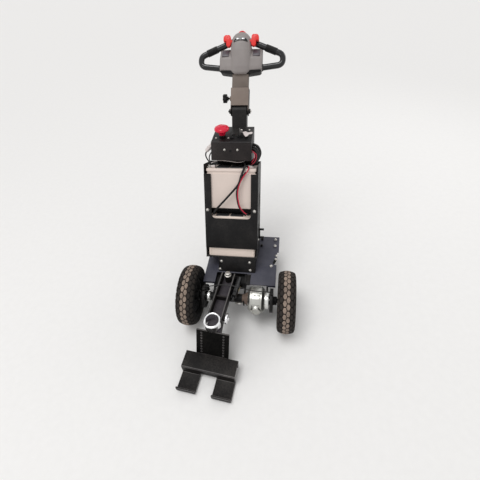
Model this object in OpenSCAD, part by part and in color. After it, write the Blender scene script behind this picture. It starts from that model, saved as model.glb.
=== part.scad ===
// Walk-behind electric tow tractor: two pneumatic drive wheels at the hitch end, two swivel castors
// under the rear of the deck, a leaning battery box and a hinged tiller with a moulded head.
// X is across the machine, the hitch points to -Y, the operator walks at +Y, and Z = 0 is the floor.

/* [Drive wheels] */
// Outside diameter of each pneumatic drive tyre
tyre_d = 320; // [280:5:350]
// Width of each drive tyre
tyre_w = 92; // [80:2:104]
// Distance between the middles of the two drive tyres
track = 512; // [500:4:560]
// Diameter of the wheel rim
rim_d = 176; // [150:2:200]
// Diameter of the axle stub that each drive wheel turns on
stub_d = 25; // [20:1:30]
// Running clearance of every shaft in its bore, on the radius
shaft_gap = 0.05; // [0.02:0.01:0.09]

/* [Deck] */
// Half width of the deck plate
deck_half = 196; // [188:1:200]
// Place of the deck's front edge
deck_front = 54; // [50:1:60]
// Place of the deck's rear edge
deck_rear = 410; // [408:1:430]
// Height of the deck's top face above the floor
deck_z = 215; // [214:1:220]
// Thickness of the deck sheet
deck_t = 6; // [4:0.5:8]
// Depth of the flanges folded down along the deck's edges
flange_h = 22; // [16:1:26]

/* [Battery box] */
// Sideways place of the foot bracket
foot_x = -20; // [-30:1:0]
// Sideways place of the post and the tiller
post_x = -30; // [-40:1:-10]
// Sideways place of the battery box and the control box
box_x = -50; // [-56:1:-30]
// Angle at which the battery box and the post lean back from upright
lean = 26; // [22:1:30]
// Place of the box's lower front edge behind the axle
box_y = 165; // [160:1:175]
// Height of the box's lower front edge above the floor
box_z = 290; // [284:1:300]
// Thickness of the box's sheet
sheet = 4; // [3:0.5:5]
// Width of the window in the front plate
window_w = 208; // [170:1:215]
// Height of the window's sill along the slope
window_sill = 224; // [200:1:240]
// Radius of the window's lower corners
window_r = 20; // [8:1:30]
// Width of each battery
battery_w = 260; // [240:1:270]
// Depth of each battery
battery_d = 150; // [130:1:152]
// Height of each battery with its lid
battery_h = 230; // [210:1:236]
// Space between the lower and the upper battery
battery_space = 24; // [18:1:30]
// Gap between a battery and the sheet beside it
battery_gap = 7; // [4:0.5:10]
// Gap between a battery and the sheets in front of it and behind it
battery_play = 3; // [2:0.5:5]
// Height of the box's walls above the upper battery
head_room = 22; // [18:1:34]

/* [Control box] */
// Width of the control box
control_w = 206; // [190:1:220]
// Height of the control box's front face
control_h = 92; // [80:1:100]
// Distance of the control box above the battery box, along the slope
control_rise = 18; // [8:1:24]
// Diameter of the emergency stop's cap
stop_d = 76; // [60:1:80]

/* [Post and tiller] */
// Width of the post
post_w = 78; // [70:1:78]
// Depth of the post
post_d = 56; // [50:1:58]
// Distance of the tiller's pivot up the slope from the box's lower edge
pivot_s = 772; // [760:1:800]
// Angle of the tiller from upright
tiller_lean = 38; // [34:1:44]
// Width of the sliding tiller tube
tube_w = 86; // [80:1:86]
// Depth of the sliding tiller tube
tube_d = 40; // [34:1:42]
// Wall thickness of the tiller's sleeve
sleeve_wall = 4; // [3:0.5:5]
// Top end of the sleeve, from the pivot
sleeve_top = 118; // [110:1:124]
// Underside of the head, from the pivot
head_t = 195; // [184:1:202]
// Gap between the sliding tube and its sleeve
slide_gap = 1; // [0.5:0.1:1.5]

/* [Tiller head] */
// Height of the head's dome
head_h = 212; // [200:1:224]
// Width of the head's dome
dome_w = 112; // [100:1:120]
// Width across the head's shoulders
shoulder_w = 226; // [200:1:236]
// Overall width across the two handle loops
handle_w = 472; // [430:2:480]
// Diameter of the handle tube
handle_d = 31; // [26:1:34]

/* [Drawbar] */
// Sideways place of the kingpin
king_x = -60; // [-66:1:-50]
// Place of the kingpin behind the axle
king_y = 82; // [78:1:84]
// Diameter of the kingpin
king_d = 20; // [16:1:22]
// Angle by which the drawbar is swung to the side at rest
swing = -6; // [-10:1:4]
// Outside width of the drawbar's channel
channel_w = 74; // [66:1:76]
// Height of the drawbar's channel
channel_h = 56; // [48:1:58]
// Wall thickness of the channel
channel_t = 6; // [4:0.5:8]
// Height of the channel's underside above the floor
channel_z = 191; // [190:1:194]
// Distance from the kingpin to the middle of the tow ring
ring_y = 268; // [260:1:280]
// Sideways place of the tow ring from the channel's middle
ring_x = -8; // [-10:1:0]
// Outside diameter of the tow ring
ring_d = 86; // [78:1:90]
// Bore of the tow ring
ring_bore = 62; // [50:1:66]
// Height of the tow ring
ring_h = 47; // [36:1:50]

/* [Hitch plate and hook] */
// Width of the drilled hitch plate
plate_w = 165; // [152:1:172]
// Length of the drilled hitch plate
plate_l = 172; // [166:1:178]
// Thickness of the drilled hitch plate
plate_t = 9; // [6:0.5:10]
// Lean of the hitch plate from upright
plate_lean = 24; // [20:1:28]
// Spacing of the two columns of holes, and of the first and last rows
hole_span = 112; // [100:1:120]
// Holes in each column
hole_rows = 8; // [5:1:9]
// Diameter of the holes
hole_d = 7; // [5:0.5:9]
// Width of the hook bracket
hook_w = 270; // [256:1:276]
// Sheet thickness of the hook bracket
hook_t = 6; // [5:0.5:8]
// Length of the hook bracket's ledge
ledge_l = 82; // [74:1:88]
// Height of the hook bracket's front face
face_h = 62; // [52:1:64]
// Length of the two tongues
tongue_l = 88; // [76:1:96]
// Width of each tongue
tongue_w = 95; // [80:1:100]
// Height of the upturned lips
lip_h = 30; // [24:1:36]

/* [Castors] */
// Diameter of each castor wheel
castor_d = 150; // [125:5:150]
// Width of each castor wheel
castor_w = 38; // [32:1:40]
// Sideways place of each castor's swivel
castor_x = 142; // [138:1:144]
// Place of the castors' swivels behind the axle
castor_y = 357; // [355:1:360]
// Trail of each castor wheel behind its swivel
castor_trail = 38; // [30:1:42]

/* [Hidden] */
$fn = 48;
seat = 0.3;
axle_z = tyre_d / 2;
wheel_x = track / 2;
deck_under = deck_z - deck_t;
// Driving parts between the wheels
case_r = 68;
case_x0 = 57;
case_x1 = 142;
ring_r = 46;
ring_x1 = 165;
brake_x0 = 170;
brake_x1 = 186;
brake_r = 62;
brake_tab = 12;
lip = 10;
tube_r = 22;
hub_face = wheel_x - tyre_w / 2 - 4;
stub_end = wheel_x + 34;
// Deck outline
slot_left = -130;
slot_right = 60;
slot_back = 122;
notch_y0 = 196;
notch_y1 = 244;
notch_depth = 24;
rear_half = deck_half + 9;
// Batteries and their box: X across, Y into the depth, Z up the slope of the leaning frame
lid_h = 26;
battery_face = sheet + battery_play;
lower_s = sheet + seat;
upper_s = lower_s + battery_h + battery_space;
lid_s = upper_s + battery_h;
box_w = battery_w + 2 * (sheet + battery_gap);
battery_back = 4;
box_d = battery_face + battery_d + battery_back + sheet;
box_h = lid_s + head_room;
front_low = 55;
front_drop = 48;
rail_w = box_w - 40;
vent_w = 66;
vent_space = 8;
vent_x = -88;
terminal_in = 12;
terminal_y = battery_face + 27;
terminal_left = -battery_w / 2 + terminal_in;
terminal_right = battery_w / 2 - terminal_in - 36;
foot_half = 102;
foot_depth = 126;
foot_drop = 130;
// Column, in its own leaning frame: X across, Y into the depth, Z up the slope
post_y = box_d + 3;
pivot_y = post_y + post_d / 2;
sleeve_in = tube_w + 2 * slide_gap;
sleeve_w = sleeve_in + 2 * sleeve_wall;
sleeve_din = tube_d + 2 * slide_gap;
sleeve_d = sleeve_din + 2 * sleeve_wall;
sleeve_low = post_d / 2 - 2;
pivot_pin = 16;
control_s = box_h + control_rise;
control_y0 = 18;
stop_x = -52;
key_x = 40;
// Drawbar, in its own frame with the kingpin at the origin and the ring towards -Y
channel_top = channel_z + channel_h;
ring_z = channel_z + channel_t;
nose_y = -(ring_y + 30);
hole_top = 14;
ring_ledge = 4;
plate_y = nose_y - seat;
plate_z = ring_z - plate_t * sin(plate_lean) - 2 * seat;
ledge_z = 72;
back_flange = 36;
function plate_front(z) = plate_y - plate_t / cos(plate_lean) - (plate_z - z) * tan(plate_lean);
// Castors
castor_axle_z = castor_d / 2;
castor_plate_t = 5;
castor_plate = [104, 84];
bolt_span = [80, 52];
race_r = 30;
race_h = 14;
race_z = deck_under - castor_plate_t - race_h;
crown_t = 5;
crown_z = race_z - seat - crown_t;
castor_bolt_d = 10;

function lean_point(p) = [p[0], box_y + p[1] * cos(lean) + p[2] * sin(lean),
    box_z - p[1] * sin(lean) + p[2] * cos(lean)];
pivot_at = lean_point([post_x, pivot_y, pivot_s]);

module leaning(x = box_x) {
    translate([x, box_y, box_z]) rotate([-lean, 0, 0]) children();
}

module on_tiller() {
    translate(pivot_at) rotate([-tiller_lean, 0, 0]) children();
}

module on_drawbar() {
    translate([king_x, king_y, 0]) rotate([0, 0, swing]) children();
}

module across(x0, x1) {
    translate([x0, 0, 0]) rotate([90, 0, 90]) linear_extrude(x1 - x0) children();
}

module rod_x(x0, x1, r) {
    translate([x0, 0, 0]) rotate([0, 90, 0]) cylinder(h = x1 - x0, r = r);
}

module block(low, high) {
    translate(low) cube(high - low);
}

module both_sides() {
    children();
    mirror([1, 0, 0]) children();
}

module hex_bolt(d, h) {
    cylinder(h = h, d = d * 1.8, $fn = 6);
}

module rounded_rect(w, h, r) {
    translate([-w / 2 + r, r]) circle(r);
    translate([w / 2 - r, r]) circle(r);
    translate([-w / 2 + r, h - r]) circle(r);
    translate([w / 2 - r, h - r]) circle(r);
    translate([-w / 2 + r, 0]) square([w - 2 * r, h]);
    translate([-w / 2, r]) square([w, h - 2 * r]);
}

// Points along a path in the XZ plane at depth y, with arcs of radius r at its corners
function bend(p, i) = let (
    a = atan2(p[i][1] - p[i - 1][1], p[i][0] - p[i - 1][0]),
    b = atan2(p[i + 1][1] - p[i][1], p[i + 1][0] - p[i][0]),
    t = b - a) [a, t > 180 ? t - 360 : t < -180 ? t + 360 : t];
function corner(p, i, y, r, steps) = let (
    a = bend(p, i)[0],
    t = bend(p, i)[1],
    side = t > 0 ? 1 : -1,
    start = p[i] - r * tan(abs(t) / 2) * [cos(a), sin(a)],
    middle = start + side * r * [-sin(a), cos(a)])
    [for (k = [0:steps]) let (w = a - side * 90 + t * k / steps)
        [middle[0] + r * cos(w), y, middle[1] + r * sin(w)]];
function rounded_path(p, y, r, steps) = concat([[p[0][0], y, p[0][1]]],
    [for (i = [1:len(p) - 2]) each corner(p, i, y, r, steps)],
    [[p[len(p) - 1][0], y, p[len(p) - 1][1]]]);

// A thin tube swept along free points: rings of n sides set square to the path
function unit(v) = v / norm(v);
function along(p, i) = unit(p[min(i + 1, len(p) - 1)] - p[max(i - 1, 0)]);
function ring_at(p, i, r, n) = let (
    t = along(p, i),
    u = unit(cross(abs(t[2]) > 0.9 ? [1, 0, 0] : [0, 0, 1], t)),
    v = cross(t, u)) [for (k = [0:n - 1]) p[i] + r * (cos(k * 360 / n) * u + sin(k * 360 / n) * v)];
module lead(p, r, n = 8) {
    rings = [for (i = [0:len(p) - 1]) each ring_at(p, i, r, n)];
    last = n * (len(p) - 1);
    polyhedron(points = rings, faces = concat(
        [[for (k = [0:n - 1]) k]],
        [[for (k = [n - 1:-1:0]) last + k]],
        [for (i = [0:len(p) - 2]) for (k = [0:n - 1])
            [i * n + k, (i + 1) * n + k, (i + 1) * n + (k + 1) % n, i * n + (k + 1) % n]]));
}
// Four blended points between each pair of route points
function blend(a, b, c, d, t) = 0.5 * ((2 * b) + (c - a) * t + (2 * a - 5 * b + 4 * c - d) * t * t
    + (3 * b - a - 3 * c + d) * t * t * t);
function smooth(p, m = 4) = concat([for (i = [0:len(p) - 2]) for (k = [0:m - 1])
    blend(p[max(i - 1, 0)], p[i], p[i + 1], p[min(i + 2, len(p) - 1)], k / m)], [p[len(p) - 1]]);

// Chassis

module deck_outline() {
    difference() {
        union() {
            translate([-deck_half, deck_front]) square([2 * deck_half, deck_rear - deck_front - 80]);
            translate([-rear_half, deck_rear - 120]) square([2 * rear_half, 120]);
        }
        translate([slot_left, deck_front - 1]) square([slot_right - slot_left, slot_back - deck_front + 1]);
        both_sides() translate([deck_half - notch_depth, notch_y0])
            polygon([[0, 12], [12, 0], [60, -6], [60, notch_y1 - notch_y0 + 16], [14, notch_y1 - notch_y0]]);
    }
}

module deck() {
    color([0.15, 0.16, 0.20]) {
        translate([0, 0, deck_under]) linear_extrude(deck_t) deck_outline();
        both_sides() block([deck_half - deck_t, 165, deck_under - flange_h], [deck_half, 190, deck_under]);
        block([-deck_half, deck_rear - deck_t, deck_under - flange_h], [deck_half, deck_rear, deck_under]);
        block([-deck_half, deck_front, deck_under - lip], [slot_left, deck_front + deck_t, deck_under]);
        block([case_x1 + 8, deck_front, deck_under - lip], [deck_half, deck_front + deck_t, deck_under]);
    }
}

module foot_bracket() {
    color([0.08, 0.08, 0.09]) difference() {
        leaning(foot_x) {
            block([-foot_half, 0, -foot_drop], [foot_half, sheet, 0]);
            both_sides() block([foot_half - sheet, 0, -foot_drop], [foot_half, foot_depth, 0]);
            block([-foot_half, 0, -sheet], [foot_half, foot_depth, 0]);
        }
        block([-300, 0, 0], [300, 500, deck_z]);
    }
}

module battery_box() {
    color([0.07, 0.07, 0.075]) leaning() difference() {
        union() {
            block([-box_w / 2, 0, 0], [box_w / 2, box_d, sheet]);
            block([-box_w / 2, box_d - sheet, 0], [box_w / 2, box_d, box_h]);
            both_sides() block([box_w / 2 - sheet, sheet + seat, 0], [box_w / 2, box_d, box_h]);
        }
        for (s = [92, 262]) for (k = [0:3])
            block([-box_w, 58 + 20 * k, s], [box_w, 68 + 20 * k, s + 90]);
    }
}

module front_plate() {
    color([0.08, 0.08, 0.085]) leaning() rotate([90, 0, 0]) translate([0, 0, -sheet])
        linear_extrude(sheet) difference() {
            translate([-box_w / 2, front_low]) square([box_w, box_h - front_drop - front_low]);
            translate([0, window_sill]) rounded_rect(window_w, 300, window_r);
        }
}

module battery(s) {
    translate([-battery_w / 2, battery_face, s]) cube([battery_w, battery_d, battery_h - lid_h]);
    translate([-battery_w / 2 + 6, battery_face + 5, s + battery_h - lid_h])
        cube([battery_w - 12, battery_d - 10, lid_h - 12]);
    translate([-battery_w / 2, battery_face, s + battery_h - 12]) cube([battery_w, battery_d, 12]);
}

module battery_lower() {
    color([0.80, 0.80, 0.78]) leaning() battery(lower_s);
}

module battery_upper() {
    color([0.80, 0.80, 0.78]) leaning() {
        battery(upper_s);
        for (y = [battery_face + 13, battery_face + battery_d - 47])
            block([-rail_w / 2, y, upper_s - battery_space + seat], [rail_w / 2, y + 20, upper_s]);
    }
}

module battery_lids() {
    color([0.20, 0.22, 0.24]) leaning() {
        for (x = [vent_x, vent_x + vent_w + vent_space]) block([x, 30, lid_s], [x + vent_w, 110, lid_s + 6]);
        for (x = [terminal_left, terminal_right]) translate([x, terminal_y, lid_s]) {
            cylinder(h = 5, r = 13);
            cylinder(h = 16, r = 6);
        }
    }
}

lead_r = 4;
lead_at = terminal_y - 6 - seat;
lead_black = [[terminal_left, lead_at, lid_s + 10], [terminal_left, 16, lid_s + 10],
    [terminal_left + 14, 8, lid_s + 16], [-60, 2, lid_s + 14], [4, -9, upper_s + 190],
    [14, -13, upper_s + 150], [-14, -15, upper_s + 80], [-66, -14, upper_s + 14], [-90, -10, upper_s - 12],
    [-90, battery_face - seat, upper_s - 12]];
lead_red = [[terminal_right, lead_at, lid_s + 10], [terminal_right, 16, lid_s + 10],
    [terminal_right - 10, 6, lid_s + 8], [60, -4, lid_s - 8], [38, -16, upper_s + 170],
    [12, -27, upper_s + 110], [2, -28, upper_s + 60], [26, -22, upper_s + 16], [78, -14, upper_s - 10],
    [82, battery_face - seat, upper_s - 14]];

module battery_leads() {
    color([0.05, 0.05, 0.05]) leaning() {
        lead(smooth(lead_black), lead_r);
        lead(smooth(lead_red), lead_r);
    }
}

// The control box's level top, and where it meets the post
control_top = lean_point([0, control_y0, control_s + control_h])[2];
control_back_s = (control_top - box_z + (post_y - seat) * sin(lean)) / cos(lean);
function side_view(p) = [lean_point([0, p[0], p[1]])[1], lean_point([0, p[0], p[1]])[2]];

module control_box() {
    color([0.07, 0.07, 0.08]) translate([box_x, 0, 0])
        across(-control_w / 2, control_w / 2) polygon([
            side_view([control_y0, control_s]), side_view([control_y0, control_s + control_h]),
            side_view([post_y - seat, control_back_s]), side_view([post_y - seat, control_s])]);
}

stop_at = [box_x + stop_x, side_view([control_y0, control_s + control_h])[0] + 56, control_top];
key_at = [box_x + key_x, stop_at[1], control_top];

module stop_button() {
    r = stop_d / 2;
    color([0.75, 0.05, 0.08]) translate(stop_at) rotate_extrude() polygon([
        [0, 0], [15, 0], [15, 4], [12, 6], [12, 27], [r - 8, 33], [r, 39],
        [r, 46], [r - 5, 52], [r - 18, 57], [0, 59]]);
}

module key_switch() {
    color([0.6, 0.6, 0.62]) translate(key_at) {
        cylinder(h = 4, r = 13);
        cylinder(h = 10, r = 9);
        block([-1.2, -7, 10], [1.2, 7, 30]);
        translate([-1.2, 0, 36]) rotate([0, 90, 0]) cylinder(h = 2.4, r = 11);
    }
}

module post() {
    color([0.08, 0.08, 0.09]) difference() {
        leaning(post_x) difference() {
            union() {
                block([-post_w / 2, post_y, -200], [post_w / 2, post_y + post_d, pivot_s]);
                translate([0, pivot_y, pivot_s]) {
                    rod_x(-post_w / 2, post_w / 2, post_d / 2);
                    rod_x(-sleeve_in / 2 + seat, sleeve_in / 2 - seat, 17);
                }
                for (s = [30, box_h - 60]) block([-60, box_d, s], [60, post_y, s + 30]);
            }
            translate([0, pivot_y, pivot_s]) rod_x(-80, 80, pivot_pin / 2 + shaft_gap);
        }
        block([-300, 0, -300], [300, 700, deck_z]);
    }
}

module side_bracket() {
    color([0.06, 0.06, 0.07]) leaning() translate([box_w / 2, 104, 128]) difference() {
        cube([22, 14, 56]);
        translate([6, -1, 10]) cube([30, 20, 36]);
    }
}

// Differential axle: ring, tubes and the stubs that the wheels turn on
module axle_case() {
    color([0.66, 0.67, 0.66]) translate([0, 0, axle_z]) {
        rod_x(case_x1, ring_x1, ring_r);
        rod_x(ring_x1, hub_face, tube_r);
        rod_x(-hub_face, case_x1, tube_r);
        rod_x(-172, -150, 29);
        rod_x(hub_face, stub_end, stub_d / 2);
        rod_x(-stub_end, -hub_face, stub_d / 2);
    }
}

module motor_drum() {
    color([0.74, 0.75, 0.74]) difference() {
        union() {
            translate([0, 0, axle_z]) rotate([0, 90, 0]) rotate_extrude() polygon([
                [tube_r + 0.1, case_x0], [case_r - 14, case_x0], [case_r, case_x0 + 12],
                [case_r, case_x1 - 14], [case_r - 14, case_x1], [tube_r + 0.1, case_x1]]);
            translate([case_x0 + 44, -50, axle_z]) rotate([90, 0, 0]) cylinder(h = 36, r = 30);
        }
        translate([0, 0, axle_z]) rod_x(case_x0 - 9, case_x1 + 9, tube_r + 0.1);
    }
}

module brake_plates() {
    color([0.07, 0.07, 0.07]) both_sides() translate([0, 0, axle_z]) difference() {
        union() {
            rod_x(brake_x0, brake_x1, brake_r);
            block([brake_x0, -12, 10], [brake_x1, 12, brake_r + brake_tab]);
        }
        rod_x(0, 300, tube_r + 0.1);
        rod_x(brake_x0 - 5, brake_x0 + 6, brake_r - 8);
    }
}

// Brake rod from tab to tab, over the drawbar and the motor
rod_end = axle_z + brake_r + brake_tab + 2.5 + seat;
rod_route = [[-178, 0, rod_end], [-140, 4, rod_end + 9], [-100, 8, rod_end + 17], [-60, 9, rod_end + 20],
    [-20, 7, rod_end + 20], [20, 3, rod_end + 15], [60, -3, rod_end + 9], [100, -5, rod_end + 6],
    [140, -3, rod_end + 3], [178, 0, rod_end]];

module brake_cable() {
    color([0.04, 0.04, 0.04]) lead(smooth(rod_route, 3), 2.5);
}

module gusset_profile() {
    polygon([[-26, axle_z + 12], [-26, axle_z - 30], [26, axle_z - 30], [140, deck_under - 30],
        [140, deck_under], [deck_front + deck_t + 1, deck_under], [deck_front + deck_t + 1, deck_under - lip - 2],
        [44, axle_z + 12]]);
}

module axle_gussets() {
    color([0.10, 0.10, 0.11]) difference() {
        union() {
            for (x = [-140, 28, 148]) across(x, x + 8) gusset_profile();
            block([-132, 50, 172], [28, 128, 180]);
            block([-132, 128, 172], [28, 136, deck_under]);
        }
        translate([0, 0, axle_z]) rod_x(-300, 100, tube_r + 0.1);
        translate([0, 0, axle_z]) rod_x(100, 300, ring_r + 0.1);
        translate([king_x, king_y, 100]) cylinder(h = 120, r = king_d / 2 + shaft_gap);
    }
}

module kingpin() {
    color([0.75, 0.75, 0.74]) translate([king_x, king_y, 0]) {
        translate([0, 0, 164]) cylinder(h = channel_top + 14 - 164, d = king_d);
        translate([0, 0, channel_top + seat]) cylinder(h = 3, d = king_d * 1.8);
        translate([0, 0, channel_top + 3 + seat]) cylinder(h = 13, d = king_d * 1.5, $fn = 6);
        translate([0, 0, 172 - 14]) hex_bolt(king_d, 14);
    }
}

module castor_plates() {
    color([0.62, 0.62, 0.62]) for (x = [-castor_x, castor_x]) translate([x, castor_y, 0]) difference() {
        union() {
            translate([-castor_plate[0] / 2, -castor_plate[1] / 2, deck_under - castor_plate_t])
                cube([castor_plate[0], castor_plate[1], castor_plate_t]);
            translate([0, 0, race_z]) cylinder(h = race_h, r = race_r);
            for (i = [-1, 1]) for (j = [-1, 1])
                translate([i * bolt_span[0] / 2, j * bolt_span[1] / 2, deck_z]) {
                    cylinder(h = 8, d = castor_bolt_d * 1.7, $fn = 6);
                    cylinder(h = 14, d = castor_bolt_d);
                }
        }
        translate([0, 0, race_z - 1]) cylinder(h = race_h + 1, r = 8 + shaft_gap);
    }
}

// Wheels

module tyre() {
    h = tyre_w / 2;
    bead = rim_d / 2;
    crown = tyre_d / 2;
    mid = (crown + bead) / 2;
    rotate([0, 90, 0]) rotate_extrude($fn = 96) polygon(concat(
        [[bead, -h * 0.6], [bead + 8, -h * 0.84], [mid - 6, -h], [mid + 8, -h * 0.985], [crown - 20, -h * 0.92]],
        [for (x = [-0.8:0.2:0.8]) [crown - 13 * x * x, h * x]],
        [[crown - 20, h * 0.92], [mid + 8, h * 0.985], [mid - 6, h], [bead + 8, h * 0.84], [bead, h * 0.6]]));
}

module rim() {
    bead = rim_d / 2 - seat;
    h = tyre_w / 2;
    bore = stub_d / 2 + shaft_gap;
    rotate([0, 90, 0]) difference() {
        rotate_extrude() polygon([
            [bore, -h], [26, -h], [28, -12], [bead - 24, -14], [bead - 18, -20], [bead - 14, -h * 0.58],
            [bead, -h * 0.6], [bead, h * 0.6], [bead - 14, h * 0.58], [bead - 18, 2], [bead - 24, -4],
            [30, -2], [26, 30], [bore, 30]]);
        for (k = [0:3]) rotate([0, 0, 45 + 90 * k]) translate([46, 0, -h]) cylinder(h = 2 * h, r = 8);
    }
}

module tyre_left() {
    color([0.10, 0.095, 0.09]) translate([-wheel_x, 0, axle_z]) mirror([1, 0, 0]) tyre();
}

module rim_left() {
    color([0.5, 0.5, 0.5]) translate([-wheel_x, 0, axle_z]) mirror([1, 0, 0]) rim();
}

module tyre_right() {
    color([0.10, 0.095, 0.09]) translate([wheel_x, 0, axle_z]) tyre();
}

module rim_right() {
    color([0.5, 0.5, 0.5]) translate([wheel_x, 0, axle_z]) rim();
}

// Castors: the fork hangs from the race by a pin, and the wheel turns on the fork's axle
module castor_fork(x) {
    inner = castor_w / 2 + 5;
    color([0.66, 0.66, 0.66]) translate([x, castor_y, 0]) {
        translate([0, 0, crown_z]) cylinder(h = race_z + race_h - 3 - crown_z, r = 8);
        translate([0, 0, crown_z]) cylinder(h = crown_t, r = race_r);
        translate([-inner - 4, -8, crown_z]) cube([2 * inner + 8, castor_trail - 6, crown_t]);
        both_sides() translate([inner, 0, 0]) rotate([90, 0, 90]) linear_extrude(4) polygon([
            [-20, crown_z + crown_t], [castor_trail - 14, crown_z + crown_t], [castor_trail + 16, castor_axle_z + 4],
            [castor_trail + 12, castor_axle_z - 14], [castor_trail - 12, castor_axle_z - 14],
            [castor_trail - 16, castor_axle_z + 2]]);
        translate([0, castor_trail, castor_axle_z]) rod_x(-inner - 9, inner + 9, 6);
        translate([0, castor_trail, castor_axle_z]) rotate([0, 90, 0]) {
            translate([0, 0, -inner - 11]) cylinder(h = 7, r = 10, $fn = 6);
            translate([0, 0, inner + 4]) cylinder(h = 7, r = 10, $fn = 6);
        }
    }
}

module castor_wheel(x) {
    h = castor_w / 2;
    r = castor_d / 2;
    color([0.12, 0.12, 0.12]) translate([x, castor_y + castor_trail, castor_axle_z]) rotate([0, 90, 0])
        rotate_extrude() polygon([
            [6 + shaft_gap, -h - 2], [18, -h - 2], [20, -8], [r - 26, -8], [r - 22, -h + 2], [r - 8, -h],
            [r - 2, -h + 5], [r, -h + 11], [r, h - 11], [r - 2, h - 5], [r - 8, h], [r - 22, h - 2],
            [r - 26, 8], [20, 8], [18, h + 2], [6 + shaft_gap, h + 2]]);
}

module castor_fork_left() {
    castor_fork(-castor_x);
}

module castor_wheel_left() {
    castor_wheel(-castor_x);
}

module castor_fork_right() {
    castor_fork(castor_x);
}

module castor_wheel_right() {
    castor_wheel(castor_x);
}

// Drawbar: an open channel that swings on the kingpin and carries the ring, the plate and the hook

module drawbar_channel() {
    w = channel_w / 2;
    rib = [46 * sin(plate_lean), 46 * cos(plate_lean)];
    color([0.09, 0.09, 0.10]) on_drawbar() difference() {
        union() {
            block([-w, nose_y, channel_z], [w, 14, channel_z + channel_t]);
            both_sides() block([w - channel_t, -ring_y, channel_z], [w, 14, channel_top]);
            translate([0, 0, channel_z]) cylinder(h = channel_h, d = king_d + 16);
            block([-w + channel_t, -128, channel_z], [w - channel_t, -120, channel_top - 18]);
            translate([0, pin_y, pin_z]) rod_x(w, w + 14, 13);
            both_sides() across(w - channel_t, w) polygon([[-ring_y + 50, channel_z], [nose_y, channel_z],
                [nose_y - rib[0], plate_z - rib[1]], [nose_y - rib[0] + 12, plate_z - rib[1]]]);
        }
        translate([0, 0, channel_z - 1]) cylinder(h = channel_h + 2, r = king_d / 2 + shaft_gap);
        translate([ring_x, -ring_y, ring_z]) cylinder(h = channel_h, d = ring_d + 0.2);
        translate([ring_x, -ring_y, channel_z - 1]) cylinder(h = channel_h, r = ring_bore / 2 - ring_ledge);
    }
}

module tow_ring() {
    color([0.85, 0.85, 0.86]) on_drawbar() translate([ring_x, -ring_y, ring_z]) rotate_extrude() polygon([
        [ring_bore / 2, 0], [ring_d / 2 - 3, 0], [ring_d / 2, 3], [ring_d / 2, ring_h - 4],
        [ring_d / 2 - 4, ring_h], [ring_bore / 2 + 3, ring_h], [ring_bore / 2, ring_h - 3]]);
}

pin_y = -(ring_y - 32);
pin_z = channel_z + 28;
module hitch_pin() {
    color([0.8, 0.8, 0.8]) on_drawbar() translate([channel_w / 2 + 14, pin_y, pin_z])
        rotate([0, 90, 0]) rotate_extrude() polygon([
            [0, 0], [26, 0], [26, 7], [23, 11], [9, 11], [9, 15], [0, 15]]);
}

module damper() {
    color([0.07, 0.07, 0.08]) on_drawbar() translate([channel_w / 2, 0, channel_z + 26]) {
        translate([19, 8, 0]) rotate([90, 0, 0]) cylinder(h = 116, r = 17);
        translate([19, -108, 0]) rotate([90, 0, 0]) cylinder(h = 26, r = 8);
        for (y = [-20, -92]) block([0, y, -10], [19, y + 14, 10]);
    }
}

module hitch_plate() {
    color([0.10, 0.10, 0.11]) on_drawbar() difference() {
        translate([0, plate_y, plate_z]) rotate([-plate_lean, 0, 0]) difference() {
            translate([-plate_w / 2, -plate_t, -plate_l]) cube([plate_w, plate_t, plate_l]);
            for (x = [-hole_span / 2, hole_span / 2]) for (i = [0:hole_rows - 1])
                translate([x, 1, -hole_top - i * hole_span / (hole_rows - 1)])
                    rotate([90, 0, 0]) cylinder(h = plate_t + 2, d = hole_d);
        }
        block([-plate_w, -600, 0], [plate_w, 0, 20]);
    }
}

// Folded sheet: a flange down the plate, the ledge, the front face, the tongue and its lip
module hook_outline() {
    y0 = plate_front(ledge_z) - seat;
    down = back_flange * [sin(plate_lean), cos(plate_lean)];
    slope_t = hook_t / cos(plate_lean);
    y1 = y0 - ledge_l;
    z1 = ledge_z - face_h;
    y2 = y1 - tongue_l;
    polygon([[y0, ledge_z], [y0 - down[0], ledge_z - down[1]], [y0 - down[0] - slope_t, ledge_z - down[1]],
        [y0 - slope_t - hook_t * tan(plate_lean), ledge_z - hook_t], [y1 + hook_t, ledge_z - hook_t],
        [y1 + hook_t, z1 + 4], [y1 + 2, z1], [y2 + 3, z1], [y2, z1 + 3], [y2, z1 + lip_h],
        [y2 + hook_t + 2, z1 + lip_h], [y2 + hook_t + 2, z1 + hook_t], [y1, z1 + hook_t],
        [y1, ledge_z - 4], [y1 + 4, ledge_z]]);
}

module hook_bracket() {
    middle = hook_w / 2 - tongue_w;
    face_y = plate_front(ledge_z) - seat - ledge_l;
    face_z = ledge_z - face_h;
    color([0.16, 0.16, 0.17]) on_drawbar() difference() {
        across(-hook_w / 2, hook_w / 2) hook_outline();
        block([-middle, face_y - tongue_l - 5, face_z - 5], [middle, face_y - 1, face_z + lip_h + 5]);
        block([-middle, face_y - 5, face_z - 5], [middle, face_y + hook_t + 5, face_z + hook_t + 14]);
    }
}

// Tiller: the sleeve tilts on the post, and the tube with the head slides in the sleeve

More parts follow.
